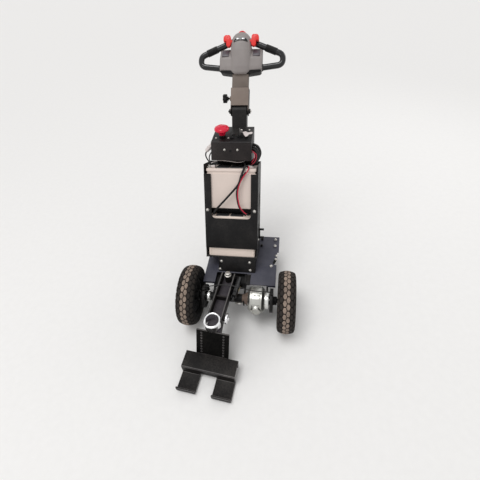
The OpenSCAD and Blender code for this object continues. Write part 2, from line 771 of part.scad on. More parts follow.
module tiller_sleeve() {
    color([0.22, 0.20, 0.19]) on_tiller() difference() {
        union() {
            difference() {
                block([-sleeve_w / 2, -sleeve_d / 2, sleeve_low], [sleeve_w / 2, sleeve_d / 2, sleeve_top]);
                block([-sleeve_in / 2, -sleeve_din / 2, 0], [sleeve_in / 2, sleeve_din / 2, sleeve_top + 1]);
            }
            both_sides() {
                block([sleeve_in / 2, -sleeve_d / 2, 0], [sleeve_w / 2, sleeve_d / 2, sleeve_low]);
                rod_x(sleeve_in / 2, sleeve_w / 2, sleeve_d / 2);
                rod_x(sleeve_w / 2, sleeve_w / 2 + 9, 13);
            }
            rod_x(-sleeve_w / 2, sleeve_w / 2, pivot_pin / 2);
            translate([0, 0, knob_t]) rod_x(-sleeve_w / 2 - 8, -sleeve_w / 2, 12);
        }
        translate([0, 0, knob_t]) rod_x(-sleeve_w, -sleeve_in / 2 + 1, 5 + 0.1);
    }
}

knob_t = 68;
module sleeve_knob() {
    color([0.05, 0.05, 0.05]) on_tiller() translate([0, 0, knob_t]) {
        rod_x(-sleeve_w / 2 - 24, -tube_w / 2 - seat, 5);
        translate([-sleeve_w / 2 - 44, 0, 0]) rotate([0, 90, 0]) {
            linear_extrude(20) union() {
                circle(17);
                for (k = [0:5]) rotate(60 * k) translate([17, 0]) circle(6.5, $fn = 24);
            }
            translate([0, 0, 20]) cylinder(h = 8, r = 11);
        }
    }
}

module tiller_tube() {
    color([0.24, 0.22, 0.21]) on_tiller() difference() {
        block([-tube_w / 2, -tube_d / 2, sleeve_low + 6], [tube_w / 2, tube_d / 2, head_t + 30]);
        block([-tube_w / 2 + 4, -tube_d / 2 + 4, 0], [tube_w / 2 - 4, tube_d / 2 - 4, head_t + 24]);
    }
}

module pill(at, r) {
    translate(at) scale(r) sphere(1, $fn = 32);
}

handle_y = 6;
handle_bend = 32;
handle_end = handle_w / 2 - handle_d / 2;
handle_path = [[70, head_t + 28], [handle_end, head_t + 46], [handle_end - 2, head_t + 98], [44, head_t + 170]];

module handle_run(r) {
    lead(rounded_path(handle_path, handle_y, handle_bend, 7), r, 20);
}

// Moulded housing: an egg-shaped dome between two lower shoulders
module tiller_head() {
    top = head_t + head_h;
    color([0.50, 0.50, 0.51]) on_tiller() difference() {
        union() {
            hull() {
                pill([0, -2, head_t + 60], [dome_w / 2, 44, 60]);
                pill([0, -6, head_t + 116], [dome_w / 2, 42, 44]);
                pill([0, -9, top - 42], [dome_w / 2 - 8, 34, 42]);
            }
            hull() both_sides() {
                pill([shoulder_w / 2 - 24, 0, head_t + 26], [24, 32, 24]);
                pill([shoulder_w / 2 - 25, -2, head_t + 66], [25, 30, 20]);
                pill([shoulder_w / 2 - 30, 12, head_t + 114], [24, 20, 20]);
            }
        }
        block([-tube_w / 2 - seat, -tube_d / 2 - seat, 0], [tube_w / 2 + seat, tube_d / 2 + seat, head_t + 30]);
        both_sides() handle_run(handle_d / 2 + 0.1);
        both_sides() on_slope() block([plate_x - seat, -30, -plate_h / 2 - seat],
            [plate_x + plate_x_w + seat, plate_sunk, plate_h / 2 + seat]);
        both_sides() translate([0, paddle_y, paddle_t]) rod_x(20, 60, 9);
        on_crown() cylinder(h = 30, r = button_r + 0.1);
    }
}

module handle_loops() {
    color([0.05, 0.05, 0.055]) on_tiller() both_sides() handle_run(handle_d / 2);
}

grip_wall = 2.5;
module handle_grips() {
    a = handle_path[2];
    b = handle_path[3];
    turn = atan2(b[1] - a[1], b[0] - a[0]);
    run = norm(b - a);
    color([0.07, 0.07, 0.07]) on_tiller() both_sides() translate([a[0], handle_y, a[1]])
        rotate([0, -turn, 0]) rotate([0, 90, 0]) difference() {
            for (k = [0:9]) translate([0, 0, 40 + 5.4 * k])
                cylinder(h = 5.4, r1 = handle_d / 2 + grip_wall, r2 = handle_d / 2 + grip_wall - 0.9);
            cylinder(h = run, r = handle_d / 2 + seat);
        }
}

paddle_t = head_t + 158;
paddle_y = -20;
paddle_x = 54;
module paddles() {
    color([0.80, 0.08, 0.08]) on_tiller() both_sides() {
        translate([0, paddle_y, paddle_t]) rod_x(30, 60, 8.9);
        translate([paddle_x, paddle_y + 9, paddle_t]) rotate([90, 0, 0]) linear_extrude(20) union() {
            translate([24, 17]) circle(15);
            translate([10, 2]) square([29, 15]);
            translate([0, -14]) square([24, 30]);
            translate([12, -14]) circle(12);
            translate([13, 20]) circle(12);
        }
    }
}

// Button on the dome's rear slope, facing the operator
button_r = 24;
button_tilt = 42;
button_at = [6, head_t + head_h - 14];
module on_crown() {
    translate([0, button_at[0], button_at[1]]) rotate([-button_tilt, 0, 0]) children();
}

module belly_button() {
    color([0.80, 0.08, 0.08]) on_tiller() on_crown() rotate_extrude() polygon([
        [0, seat], [button_r, seat], [button_r, 9], [button_r - 2, 13], [button_r - 8, 16], [0, 17.5]]);
}

// Blank plates let into the shoulders' sloping faces
plate_x = 64;
plate_x_w = 36;
plate_h = 38;
plate_sunk = 4;
plate_tilt = 26;
plate_mid = [-17, head_t + 100];
module on_slope() {
    translate([0, plate_mid[0], plate_mid[1]]) rotate([-plate_tilt, 0, 0]) children();
}

module head_plates() {
    color([0.25, 0.22, 0.26]) on_tiller() both_sides() on_slope()
        block([plate_x, -2, -plate_h / 2], [plate_x + plate_x_w, plate_sunk - seat, plate_h / 2]);
}

deck();
foot_bracket();
battery_box();
front_plate();
battery_lower();
battery_upper();
battery_lids();
battery_leads();
control_box();
stop_button();
key_switch();
post();
side_bracket();
axle_case();
motor_drum();
brake_plates();
brake_cable();
axle_gussets();
kingpin();
castor_plates();
tyre_left();
rim_left();
tyre_right();
rim_right();
castor_fork_left();
castor_wheel_left();
castor_fork_right();
castor_wheel_right();
drawbar_channel();
tow_ring();
hitch_pin();
damper();
hitch_plate();
hook_bracket();
tiller_sleeve();
sleeve_knob();
tiller_tube();
tiller_head();
handle_loops();
handle_grips();
paddles();
belly_button();
head_plates();
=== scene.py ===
import logging
import math
from dataclasses import dataclass, field
from enum import Enum
from typing import Optional, Sequence

import bmesh
import bpy
from mathutils import Matrix, Vector


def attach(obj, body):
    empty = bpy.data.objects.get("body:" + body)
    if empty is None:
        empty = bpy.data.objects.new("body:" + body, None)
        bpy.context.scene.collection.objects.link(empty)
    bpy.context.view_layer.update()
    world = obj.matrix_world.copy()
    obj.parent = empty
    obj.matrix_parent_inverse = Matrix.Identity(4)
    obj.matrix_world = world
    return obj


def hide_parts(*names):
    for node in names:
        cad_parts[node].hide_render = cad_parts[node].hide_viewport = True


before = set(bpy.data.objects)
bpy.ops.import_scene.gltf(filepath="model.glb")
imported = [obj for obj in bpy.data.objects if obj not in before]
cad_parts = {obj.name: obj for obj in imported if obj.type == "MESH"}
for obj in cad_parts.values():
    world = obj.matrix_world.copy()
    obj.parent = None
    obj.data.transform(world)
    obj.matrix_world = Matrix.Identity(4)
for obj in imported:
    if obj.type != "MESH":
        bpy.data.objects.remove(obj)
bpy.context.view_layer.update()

MM = 0.001
WELD, CAD_WELD = 0.001, 0.004  # Distances in millimetres under which two corners are one.
FLAT = math.radians(0.5)  # Bend under which two of a CAD node's faces are one.
GRAIN_DEPTH, BRUSH_DEPTH = 0.0006, 0.0004  # Depths of the finishes' relief, in metres.
log = logging.getLogger("tow_tractor")
Point = tuple[float, float, float]
Flat = tuple[float, float]
Colour = tuple[float, float, float]
Socket = bpy.types.NodeSocket


class Body(str, Enum):
    """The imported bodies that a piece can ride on."""

    CHASSIS = "chassis"
    WHEEL_LEFT = "wheel_left"
    WHEEL_RIGHT = "wheel_right"
    CASTOR_LEFT = "castor_left"
    CASTOR_LEFT_ROLLER = "castor_left_roller"
    CASTOR_RIGHT = "castor_right"
    CASTOR_RIGHT_ROLLER = "castor_right_roller"
    DRAWBAR = "drawbar"
    SLEEVE = "sleeve"
    TILLER = "tiller"


class Side(Enum):
    """Left or right half of the machine, with the sign of its X."""

    LEFT = -1
    RIGHT = 1

    @property
    def word(self) -> str:
        """The side's name in lower case."""
        return self.name.lower()


class Axis(Enum):
    """Direction that a profile is extruded or turned along."""

    X = "X"
    Y = "Y"
    Z = "Z"

    def place(self, a: float, b: float, along: float) -> Point:
        """Puts a flat point and a distance along the axis into space."""
        return {Axis.X: (along, a, b), Axis.Y: (a, along, b), Axis.Z: (a, b, along)}[self]


def seated(at: Sequence[float], degrees: float = 0.0, axis: str = "X") -> Matrix:
    """A frame with its origin in a point, turned about one of its axes."""
    return Matrix.Translation(Vector(at)) @ Matrix.Rotation(math.radians(degrees), 4, axis)


def facing(at: Sequence[float], out: Sequence[float]) -> Matrix:
    """A frame with its origin in a point and its Z axis along a direction."""
    turn = Vector((0, 0, 1)).rotation_difference(Vector(out)).to_matrix().to_4x4()
    return Matrix.Translation(Vector(at)) @ turn


def angles(count: int, first: float = 0.0) -> list[float]:
    """The angles of a full turn's equal steps, the first at a share of one step."""
    return [math.tau * (k + first) / count for k in range(count)]


def flowing(points: Sequence[Point], steps: int) -> list[Point]:
    """A smooth curve through the points, as a Catmull-Rom spline.

    Args:
        points: The points, in order.
        steps: Steps from one point to the next.

    Returns:
        The curve's points.
    """
    out: list[Point] = []
    p = [Vector(q) for q in points]
    for i in range(len(p) - 1):
        a, b, c, d = p[max(i - 1, 0)], p[i], p[i + 1], p[min(i + 2, len(p) - 1)]
        for t in (k / steps for k in range(steps)):
            q = 2 * b + (c - a) * t + (2 * a - 5 * b + 4 * c - d) * t ** 2 + (3 * b - a - 3 * c + d) * t ** 3
            out.append(tuple(0.5 * q))
    return out + [tuple(p[-1])]


@dataclass(frozen=True)
class Layout:
    """The machine's shared frames, in millimetres and degrees, as in the CAD source."""

    box: Point = (-50.0, 165.0, 290.0)
    post: Point = (-30.0, 165.0, 290.0)
    foot: Point = (-20.0, 165.0, 290.0)
    lean: float = 26.0
    pivot_y: float = 196.0
    pivot_s: float = 772.0
    tiller_lean: float = 38.0
    king: Flat = (-60.0, 82.0)
    swing: float = -6.0
    axle_z: float = 160.0
    wheel_x: float = 256.0

    def leaning(self, corner: Point) -> Matrix:
        """A frame that leans back with the battery box, with its origin in a corner."""
        return seated(corner, -self.lean)

    def column(self) -> Matrix:
        """The leaning frame of the battery box and the control box."""
        return self.leaning(self.box)

    def tiller(self) -> Matrix:
        """The tiller's frame, with its origin in the pivot."""
        return seated(self.leaning(self.post) @ Vector((0.0, self.pivot_y, self.pivot_s)), -self.tiller_lean)

    def drawbar(self) -> Matrix:
        """The drawbar's frame, with its origin on the floor under the kingpin."""
        return seated((*self.king, 0.0), self.swing, "Z")

    def about_axle(self, x: float, radius: float, a: float) -> Point:
        """A point at a radius and an angle round the drive axle."""
        return (x, radius * math.cos(a), self.axle_z + radius * math.sin(a))


LAYOUT = Layout()


# Finishes


def feed(socket: Socket, value: object) -> None:
    """Links an input to an output, or sets it to a value.

    Args:
        socket: The input.
        value: A node's output, a number or a colour.
    """
    if isinstance(value, Socket):
        socket.id_data.links.new(value, socket)
    else:
        socket.default_value = value


def wired(tree: bpy.types.NodeTree, kind: str, out: object, inputs: dict[object, object],
          **settings: object) -> Socket:
    """Adds a shader node and feeds its inputs.

    Args:
        tree: The tree that it goes into.
        kind: The node's type, without its prefix.
        out: Name or place of the output that is wanted.
        inputs: Values and other nodes' outputs, by the inputs' names or places.
        **settings: The node's own settings.

    Returns:
        The output.
    """
    node = tree.nodes.new("ShaderNode" + kind)
    for name, value in settings.items():
        setattr(node, name, value)
    for name, value in inputs.items():
        feed(node.inputs[name], value)
    return node.outputs[out]


class Shading:
    """A material's node tree while a finish writes it."""

    def __init__(self, name: str) -> None:
        """Makes an empty material with a Principled shader.

        Args:
            name: The material's name.
        """
        self.material = bpy.data.materials.new(name)
        self.material.use_nodes = True
        self.tree = self.material.node_tree
        self.place = wired(self.tree, "TexCoord", "Object", {})

    def give(self, **values: object) -> None:
        """Feeds the shader's own inputs, named with an underscore for each space."""
        for name, value in values.items():
            feed(self.tree.nodes["Principled BSDF"].inputs[name.replace("_", " ")], value)

    def stretched(self, scale: Point) -> Socket:
        """The object's coordinates, scaled differently along each axis."""
        return wired(self.tree, "Mapping", "Vector", {"Scale": scale, "Vector": self.place})

    def noise(self, scale: float, detail: float = 3.0, rough: float = 0.55,
              at: Optional[Socket] = None) -> Socket:
        """A noise value with so many features in a metre, octaves and their roughness."""
        return wired(self.tree, "TexNoise", "Fac", {"Scale": scale, "Detail": detail, "Roughness": rough,
                                                    "Vector": at or self.place})

    def ramp(self, value: Socket, low: float, high: float, first: float = 0.0, last: float = 1.0) -> Socket:
        """Stretches a value between two limits to another pair of values."""
        return wired(self.tree, "MapRange", "Result", {"Value": value, "From Min": low, "From Max": high,
                                                       "To Min": first, "To Max": last})

    def mix(self, share: Socket, *pair: object) -> Socket:
        """Mixes two colours, each a colour or an output, by a share."""
        first, second = ((*value, 1.0) if isinstance(value, tuple) else value for value in pair)
        return wired(self.tree, "Mix", 2, {0: share, 6: first, 7: second}, data_type="RGBA")

    def joined(self, first: Socket, second: Socket, how: str = "MULTIPLY") -> Socket:
        """Joins two values by a sum of the named kind."""
        return wired(self.tree, "Math", 0, {0: first, 1: second}, operation=how)

    def upward(self) -> Socket:
        """How far the surface faces up, from -1 to 1."""
        normal = wired(self.tree, "NewGeometry", "Normal", {})
        return wired(self.tree, "SeparateXYZ", "Z", {0: normal})

    def bump(self, height: Socket, strength: float, depth: float) -> None:
        """Adds fine relief, with the depth in metres."""
        self.give(Normal=wired(self.tree, "Bump", "Normal", {"Strength": strength, "Distance": depth,
                                                             "Height": height}))


@dataclass(frozen=True)
class Finish:
    """A named surface, with the record's material slot that it belongs to."""

    name: str
    slot: str

    def material(self) -> bpy.types.Material:
        """The finish's material, made at its first use."""
        return bpy.data.materials.get(self.name) or self.write(Shading(self.name))

    def write(self, made: Shading) -> bpy.types.Material:
        """Writes the finish's nodes and returns the material."""
        raise NotImplementedError


@dataclass(frozen=True)
class Coat(Finish):
    """Paint, moulded plastic or rubber, with grain, blotches, sheen changes and settled dust.

    The relief's grain is given as features in a metre, and the dust as the share that it covers.
    """

    colour: Colour = (0.02, 0.02, 0.02)
    roughness: float = 0.45
    grain: float = 900.0
    relief: float = 0.12
    blotch: float = 0.18
    dust: float = 0.12
    dust_colour: Colour = (0.30, 0.27, 0.24)
    shine: float = 0.5
    coat: float = 0.0

    def write(self, made: Shading) -> bpy.types.Material:
        """Writes the coat's nodes.

        Args:
            made: The new material's tree.

        Returns:
            The material.
        """
        shares = (1 - self.blotch, 1 + self.blotch)
        dark, light = (tuple(min(1.0, c * share) for c in self.colour) for share in shares)
        cloud = made.noise(9.0, 4.0, 0.6)
        base = made.mix(made.ramp(cloud, 0.32, 0.68), dark, light)
        specks = made.noise(150.0, 3.0, 0.7)
        above = made.ramp(made.upward(), -0.2, 1.0, 0.25, 1.0)
        cover = made.joined(made.ramp(made.joined(specks, cloud), 0.18, 0.34, 0.0, self.dust), above)
        smooth, rough = self.roughness * 0.86, min(1.0, self.roughness * 1.16)
        sheen = made.ramp(made.noise(35.0, 3.0), 0.3, 0.7, smooth, rough)
        made.give(Base_Color=made.mix(cover, base, self.dust_colour), Roughness=sheen,
                  Specular_IOR_Level=self.shine)
        if self.coat:
            made.give(Coat_Weight=self.coat, Coat_Roughness=0.08)
        made.bump(made.noise(self.grain, 2.0), self.relief, GRAIN_DEPTH)
        return made.material


@dataclass(frozen=True)
class Metal(Finish):
    """Bare metal with brushed or turned lines, tarnish and a fine relief."""

    colour: Colour = (0.7, 0.7, 0.7)
    roughness: float = 0.3
    lines: Point = (200.0, 20.0, 20.0)
    tarnish: Colour = (0.32, 0.30, 0.28)
    dirt: float = 0.35
    relief: float = 0.15

    def write(self, made: Shading) -> bpy.types.Material:
        """Writes the metal's nodes.

        Args:
            made: The new material's tree.

        Returns:
            The material.
        """
        streaks = made.noise(1.0, 4.0, 0.6, made.stretched(self.lines))
        cover = made.ramp(made.joined(made.noise(28.0, 4.0, 0.65), streaks), 0.22, 0.42, 0.0, self.dirt)
        rough = made.ramp(streaks, 0.3, 0.7, self.roughness * 0.75, min(1.0, self.roughness * 1.35))
        made.give(Base_Color=made.mix(cover, self.colour, self.tarnish), Metallic=1.0, Roughness=rough)
        made.bump(streaks, self.relief, BRUSH_DEPTH)
        return made.material


@dataclass(frozen=True)
class TreadTop(Finish):
    """Worn faces of the tread blocks: tan floor dust rubbed into black rubber."""

    rubber: Colour = (0.022, 0.020, 0.019)
    dust: Colour = (0.30, 0.235, 0.17)
    middle: float = 0.85

    def write(self, made: Shading) -> bpy.types.Material:
        """Writes the dusty rubber's nodes.

        Args:
            made: The new material's tree.

        Returns:
            The material.
        """
        fine = made.noise(240.0, 4.0, 0.7)
        cover = made.ramp(made.joined(made.noise(16.0, 4.0, 0.6), fine, "ADD"), 0.72, 1.2,
                          self.middle * 0.35, self.middle)
        made.give(Base_Color=made.mix(cover, self.rubber, self.dust), Roughness=0.88, Specular_IOR_Level=0.25)
        made.bump(fine, 0.3, GRAIN_DEPTH)
        return made.material


class Shop:
    """The finishes of this machine."""

    BLACK = Coat("black_powder_coat", "frame_paint", (0.0062, 0.0058, 0.0062), 0.44, 1300.0, 0.16, 0.25, 0.05,
                 shine=0.17)
    SATIN = Coat("worn_black_paint", "hitch_paint", (0.0075, 0.0066, 0.0066), 0.46, 900.0, 0.16, 0.25, 0.06,
                 shine=0.14)
    # Black paint darkened further as painted shade on the hitch plate's forward-down face.
    SHADE_BLACK = Coat("painted_shade_black_paint", "hitch_paint", (0.0016, 0.0016, 0.0016), 0.60, 900.0, 0.16, 0.25, 0.03,
                shine=0.05)
    FRONT = Coat("brown_black_paint", "frame_paint", (0.0135, 0.0100, 0.0098), 0.46, 1300.0, 0.16, 0.25, 0.05,
                 shine=0.2)
    # Lighter grey for edges: rubbed paint together with a painted highlight along lit edges.
    EDGE = Coat("rubbed_edge_and_painted_highlight", "hitch_paint", (0.085, 0.080, 0.080), 0.40, 700.0, 0.2, 0.35, 0.12, shine=0.3)
    # Black paint lightened on rounded edges as a painted highlight.
    LEDGE_HIGHLIGHT = Coat("ledge_painted_highlight", "hitch_paint", (0.030, 0.026, 0.027), 0.48, 900.0, 0.18, 0.25, 0.10,
                 shine=0.25)
    DECK = Coat("blue_black_deck_paint", "deck_paint", (0.046, 0.047, 0.066), 0.44, 1100.0, 0.14, 0.16, 0.06,
                shine=0.3)
    # The tube's black paint is lightened to grey-brown for settled dust and painted light on its lit faces.
    TILLER = Coat("tube_dust_and_painted_light", "tiller_paint", (0.148, 0.120, 0.102), 0.54, 1500.0, 0.22, 0.10,
                  0.05, shine=0.25)
    # The sleeve's black paint is lightened to grey-brown for settled dust and painted light on its lit faces.
    SLEEVE = Coat("sleeve_dust_and_painted_light", "tiller_paint", (0.215, 0.172, 0.146), 0.54, 1500.0, 0.22, 0.10,
                  0.05, shine=0.25)
    HEAD = Coat("grey_moulding", "head_plastic", (0.262, 0.236, 0.228), 0.46, 1700.0, 0.2, 0.06, 0.03,
                shine=0.4)
    UNDER = Coat("black_under_cover", "handle_plastic", (0.005, 0.005, 0.0055), 0.5, 1500.0, 0.2, 0.15, 0.03,
                 shine=0.17)
    GLOSS = Coat("gloss_black_moulding", "handle_plastic", (0.004, 0.004, 0.0048), 0.13, 300.0, 0.05, 0.1, 0.0,
                 shine=0.32, coat=0.26)
    GRIP = Coat("grip_rubber", "handle_plastic", (0.0065, 0.0065, 0.007), 0.55, 1800.0, 0.25, 0.15, 0.03,
                shine=0.2)
    RED = Coat("red_moulding", "red_plastic", (0.78, 0.035, 0.030), 0.34, 1500.0, 0.08, 0.06, 0.0, shine=0.25,
               coat=0.1)
    STOP = Coat("crimson_stop_cap", "red_plastic", (0.68, 0.010, 0.042), 0.26, 1500.0, 0.06, 0.06, 0.0,
                shine=0.25, coat=0.15)
    PLATE = Coat("dark_blank_plate", "plate_plastic", (0.062, 0.050, 0.062), 0.36, 900.0, 0.08, 0.12, 0.03)
    CASE = Coat("pale_battery_plastic", "battery_case", (0.740, 0.630, 0.570), 0.42, 1200.0, 0.14, 0.04, 0.03,
                shine=0.3)
    # The same battery plastic is painted lighter: painted light on the shaded lower battery.
    CASE_PAINTED_LIGHT = Coat("battery_plastic_painted_light", "battery_case", (0.860, 0.735, 0.650), 0.42, 1200.0, 0.14, 0.04,
                      0.03, shine=0.3)
    VENT = Coat("battery_vent", "battery_lid", (0.030, 0.032, 0.036), 0.45, 1300.0, 0.16, 0.2, 0.10)
    SHEATH = Coat("black_sheath", "lead_sheath", (0.006, 0.0055, 0.006), 0.36, 700.0, 0.1, 0.15, 0.03,
                  shine=0.25)
    RED_SHEATH = Coat("red_sheath", "lead_sheath", (0.50, 0.020, 0.050), 0.36, 700.0, 0.1, 0.12, 0.0, shine=0.3)
    WHITE = Coat("white_nylon", "battery_case", (0.68, 0.62, 0.60), 0.45, 900.0, 0.1, 0.06, 0.04, shine=0.35)
    TYRE = Coat("black_tyre_wall", "tyre_rubber", (0.0055, 0.005, 0.005), 0.80, 700.0, 0.4, 0.3, 0.03,
                (0.12, 0.095, 0.08), 0.14)
    TREAD = TreadTop("dusty_tread_top", "tyre_rubber", dust=(0.40, 0.31, 0.25), middle=0.88)
    TREAD_SIDE = TreadTop("dusty_shoulder_lug", "tyre_rubber", (0.012, 0.011, 0.0105), (0.075, 0.060, 0.050),
                          0.36)
    RUBBER = Coat("grey_castor_tread", "castor_rubber", (0.014, 0.014, 0.015), 0.62, 900.0, 0.25, 0.2, 0.08,
                  shine=0.25)
    ALLOY = Metal("ribbed_casting", "cast_alloy", (0.47, 0.47, 0.44), 0.34, (14.0, 260.0, 260.0), dirt=0.55)
    TURNED = Metal("turned_alloy", "cast_alloy", (0.66, 0.66, 0.64), 0.24, (600.0, 16.0, 16.0), dirt=0.25)
    CHROME = Metal("polished_steel", "bright_steel", (0.80, 0.80, 0.81), 0.10, (20.0, 20.0, 500.0), dirt=0.15,
                   relief=0.05)
    ZINC = Metal("zinc_plate", "bright_steel", (0.50, 0.48, 0.45), 0.34, (60.0, 60.0, 60.0), dirt=0.3)
    BRASS = Metal("yellow_passivate", "bright_steel", (0.55, 0.42, 0.18), 0.34, (90.0, 90.0, 90.0), dirt=0.3)
    RIM = Coat("wheel_grey_paint", "cast_alloy", (0.22, 0.22, 0.23), 0.38, 900.0, 0.12, 0.12, 0.10, shine=0.35)
    TRAY = Coat("dusty_tray", "hitch_paint", (0.034, 0.029, 0.038), 0.50, 900.0, 0.18, 0.3, 0.10, shine=0.25)
    CONE = Coat("rusty_grey_casting", "cast_alloy", (0.155, 0.110, 0.088), 0.55, 500.0, 0.4, 0.25, 0.12,
                shine=0.3)


# Meshes


class Draft:
    """One piece's mesh while it is made, in millimetres in the piece's own frame.

    The methods that add to it or round it return the draft, so that they can be chained.
    """

    def __init__(self, name: str, where: Optional[Matrix] = None) -> None:
        """Starts an empty piece.

        Args:
            name: The piece's name.
            where: The frame that its points are given in, in millimetres.
        """
        self.name = name
        self.where = where or Matrix.Identity(4)
        self.bm = bmesh.new()

    def face(self, verts: Sequence[bmesh.types.BMVert], slot: int = 0) -> None:
        """Adds one face with one of the piece's finishes."""
        self.bm.faces.new(verts).material_index = slot

    def loft(self, rows: Sequence[Sequence[Point]], turned: bool = False) -> "Draft":
        """Skins rows of points that have the same number of points.

        Args:
            rows: The rows, in order.
            turned: Whether the rows are open and go once round, or closed, stacked and capped.

        Returns:
            The draft.
        """
        made = [[self.bm.verts.new(p) for p in row] for row in rows]
        count = len(rows[0])
        for a, b in zip(made, made[1:] + made[:1] if turned else made[1:]):
            for k in range(count - 1 if turned else count):
                n = (k + 1) % count
                self.face([a[k], a[n], b[n], b[k]])
        if not turned:
            self.face(made[0][::-1])
            self.face(made[-1])
        return self

    def prism(self, outline: Sequence[Flat], low: float, high: float, axis: Axis = Axis.Z) -> "Draft":
        """Extrudes a flat outline along an axis, from low to high."""
        return self.loft([[axis.place(a, b, s) for a, b in outline] for s in (low, high)])

    def turned(self, profile: Sequence[Flat], centre: Point, axis: Axis = Axis.Z, steps: int = 48) -> "Draft":
        """Turns a profile of (radius, distance along the axis) round an axis through a point."""
        rows = [[axis.place(r * math.cos(a), r * math.sin(a), s) for r, s in profile] for a in angles(steps)]
        return self.loft([[tuple(u + v for u, v in zip(p, centre)) for p in row] for row in rows], turned=True)

    def spun(self, profile: Sequence[Flat], seat: Matrix, steps: int) -> "Draft":
        """Turns a profile round the Z axis of a seat's frame."""
        return self.loft([[tuple(seat @ Vector((r * math.cos(a), r * math.sin(a), s))) for r, s in profile]
                          for a in angles(steps, 0.5)], turned=True)

    def block(self, low: Point, high: Point) -> "Draft":
        """Adds a box between two corners."""
        (x0, y0, z0), (x1, y1, z1) = low, high
        return self.prism([(x0, y0), (x1, y0), (x1, y1), (x0, y1)], z0, z1)

    def tube(self, path: Sequence[Point], radius: float, sides: int) -> "Draft":
        """Sweeps a round tube along a path, without twisting it.

        Args:
            path: The tube's middle line.
            radius: The tube's radius.
            sides: Sides of the tube.

        Returns:
            The draft.
        """
        points = [Vector(p) for p in path]
        rows = []
        last = None
        for i, p in enumerate(points):
            t = (points[min(i + 1, len(points) - 1)] - points[max(i - 1, 0)]).normalized()
            last = ((last - t * last.dot(t)) if last else t.orthogonal()).normalized()
            across = t.cross(last)
            rows.append([tuple(p + radius * (math.cos(a) * last + math.sin(a) * across))
                         for a in angles(sides)])
        return self.loft(rows)

    def wire(self, route: Sequence[Point], radius: float, sides: int, steps: int = 8) -> "Draft":
        """Sweeps a tube along a smooth curve through a route's points."""
        return self.tube(flowing(route, steps), radius, sides)

    def bolt(self, at: Sequence[float], out: Sequence[float], size: float, dome: bool = False) -> "Draft":
        """Adds a bolt's head with its washer.

        Args:
            at: Middle of the seat that the washer lies on.
            out: Direction away from the seat.
            size: Thread diameter.
            dome: Whether the head is a round cap and not a hexagon.

        Returns:
            The draft.
        """
        seat = facing(at, out)
        base = 0.16 * size
        self.spun([(0.2, 0.0), (size, 0.0), (size, base * 0.7), (size * 0.96, base), (0.2, base)], seat, 24)
        if dome:
            wide, high = size * 0.86, size * 0.62
            cap = [(wide * math.cos(a), base + high * math.sin(a)) for a in angles(20)[1:5]]
            return self.spun([(0.2, base), (wide, base), *cap, (0.01, base + high)], seat, 20)
        wide, top = size * 0.88, base + size * 0.66
        return self.spun([(0.2, base), (wide, base), (wide, top - 0.1 * size), (size * 0.78, top), (0.01, top)],
                         seat, 6)

    def bevel(self, width: float, segments: int = 2, angle: float = 28.0, slot: int = -1) -> "Draft":
        """Rounds the edges that are sharper than an angle.

        Args:
            width: Width of the rounding.
            segments: Steps in it.
            angle: Least angle between two faces, in degrees.
            slot: Finish of the new faces, or -1 to keep that of their neighbours.

        Returns:
            The draft.
        """
        self.bm.normal_update()
        least = math.radians(angle)
        edges = [e for e in self.bm.edges if len(e.link_faces) == 2 and e.calc_face_angle(0.0) > least]
        bmesh.ops.bevel(self.bm, geom=edges, offset=width, segments=segments, profile=0.5, affect="EDGES",
                        clamp_overlap=True, material=slot)
        return self

    def piece(self, *finishes: Finish, body: Body = Body.CHASSIS, smooth: float = 35.0,
              replaces: Sequence[str] = ()) -> bpy.types.Object:
        """Makes the object, dresses it and puts it on its body.

        Args:
            *finishes: Its finishes, in the order of its slots.
            body: The body that it rides on.
            smooth: Angle under which neighbouring faces shade as one, in degrees.
            replaces: The CAD nodes that it stands for.

        Returns:
            The finished object.
        """
        bmesh.ops.remove_doubles(self.bm, verts=self.bm.verts, dist=WELD)
        bmesh.ops.recalc_face_normals(self.bm, faces=self.bm.faces)
        self.bm.transform(Matrix.Scale(MM, 4) @ self.where)
        mesh = bpy.data.meshes.new(self.name)
        self.bm.to_mesh(mesh)
        self.bm.free()
        mesh.shade_smooth()
        mesh.set_sharp_from_angle(angle=math.radians(smooth))
        made = bpy.data.objects.new(self.name, mesh)
        bpy.context.scene.collection.objects.link(made)
        for finish in finishes:
            mesh.materials.append(finish.material())
        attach(made, body.value)
        if replaces:
            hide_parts(*replaces)
        log.info("%s made, on %s", self.name, body.value)
        return made


@dataclass(frozen=True)
class Zone:
    """A slice of a piece, between two distances along one axis of a frame, that takes another finish."""

    axis: int
    low: float
    high: float
    slot: int
    where: Matrix = field(default_factory=lambda: Matrix.Identity(4))

    def paint(self, draft: Draft) -> None:
        """Gives the slice's faces their finish.

        Args:
            draft: The piece.
        """
        back = self.where.inverted()
        for face in draft.bm.faces:
            if self.low <= (back @ face.calc_center_median())[self.axis] <= self.high:
                face.material_index = self.slot


def softened(node: str, width: float, *finishes: Finish, body: Body = Body.CHASSIS, segments: int = 2,
             edge_slot: int = -1, zones: Sequence[Zone] = ()) -> None:
    """Stands in for a sheet or cast CAD node with a copy whose edges are rounded.

    Args:
        node: The CAD node.
        width: Width of the rounding, in millimetres.
        *finishes: The faces' finish, then those of the rounded edges and of the zones.
        body: The body that it rides on.
        segments: Steps in the rounding.
        edge_slot: Finish of the rounded edges, or -1 for the faces' own.
        zones: Slices that take another of the finishes.
    """
    draft = Draft(node + "_finished")
    draft.bm.from_mesh(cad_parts[node].data)
    draft.bm.transform(Matrix.Scale(1 / MM, 4))
    bmesh.ops.remove_doubles(draft.bm, verts=draft.bm.verts, dist=CAD_WELD)
    bmesh.ops.dissolve_limit(draft.bm, angle_limit=FLAT, verts=draft.bm.verts, edges=draft.bm.edges)
    for face in draft.bm.faces:
        face.material_index = 0
    draft.bevel(width, segments, slot=edge_slot)
    for zone in zones:
        zone.paint(draft)
    draft.piece(*finishes, body=body, replaces=(node,))


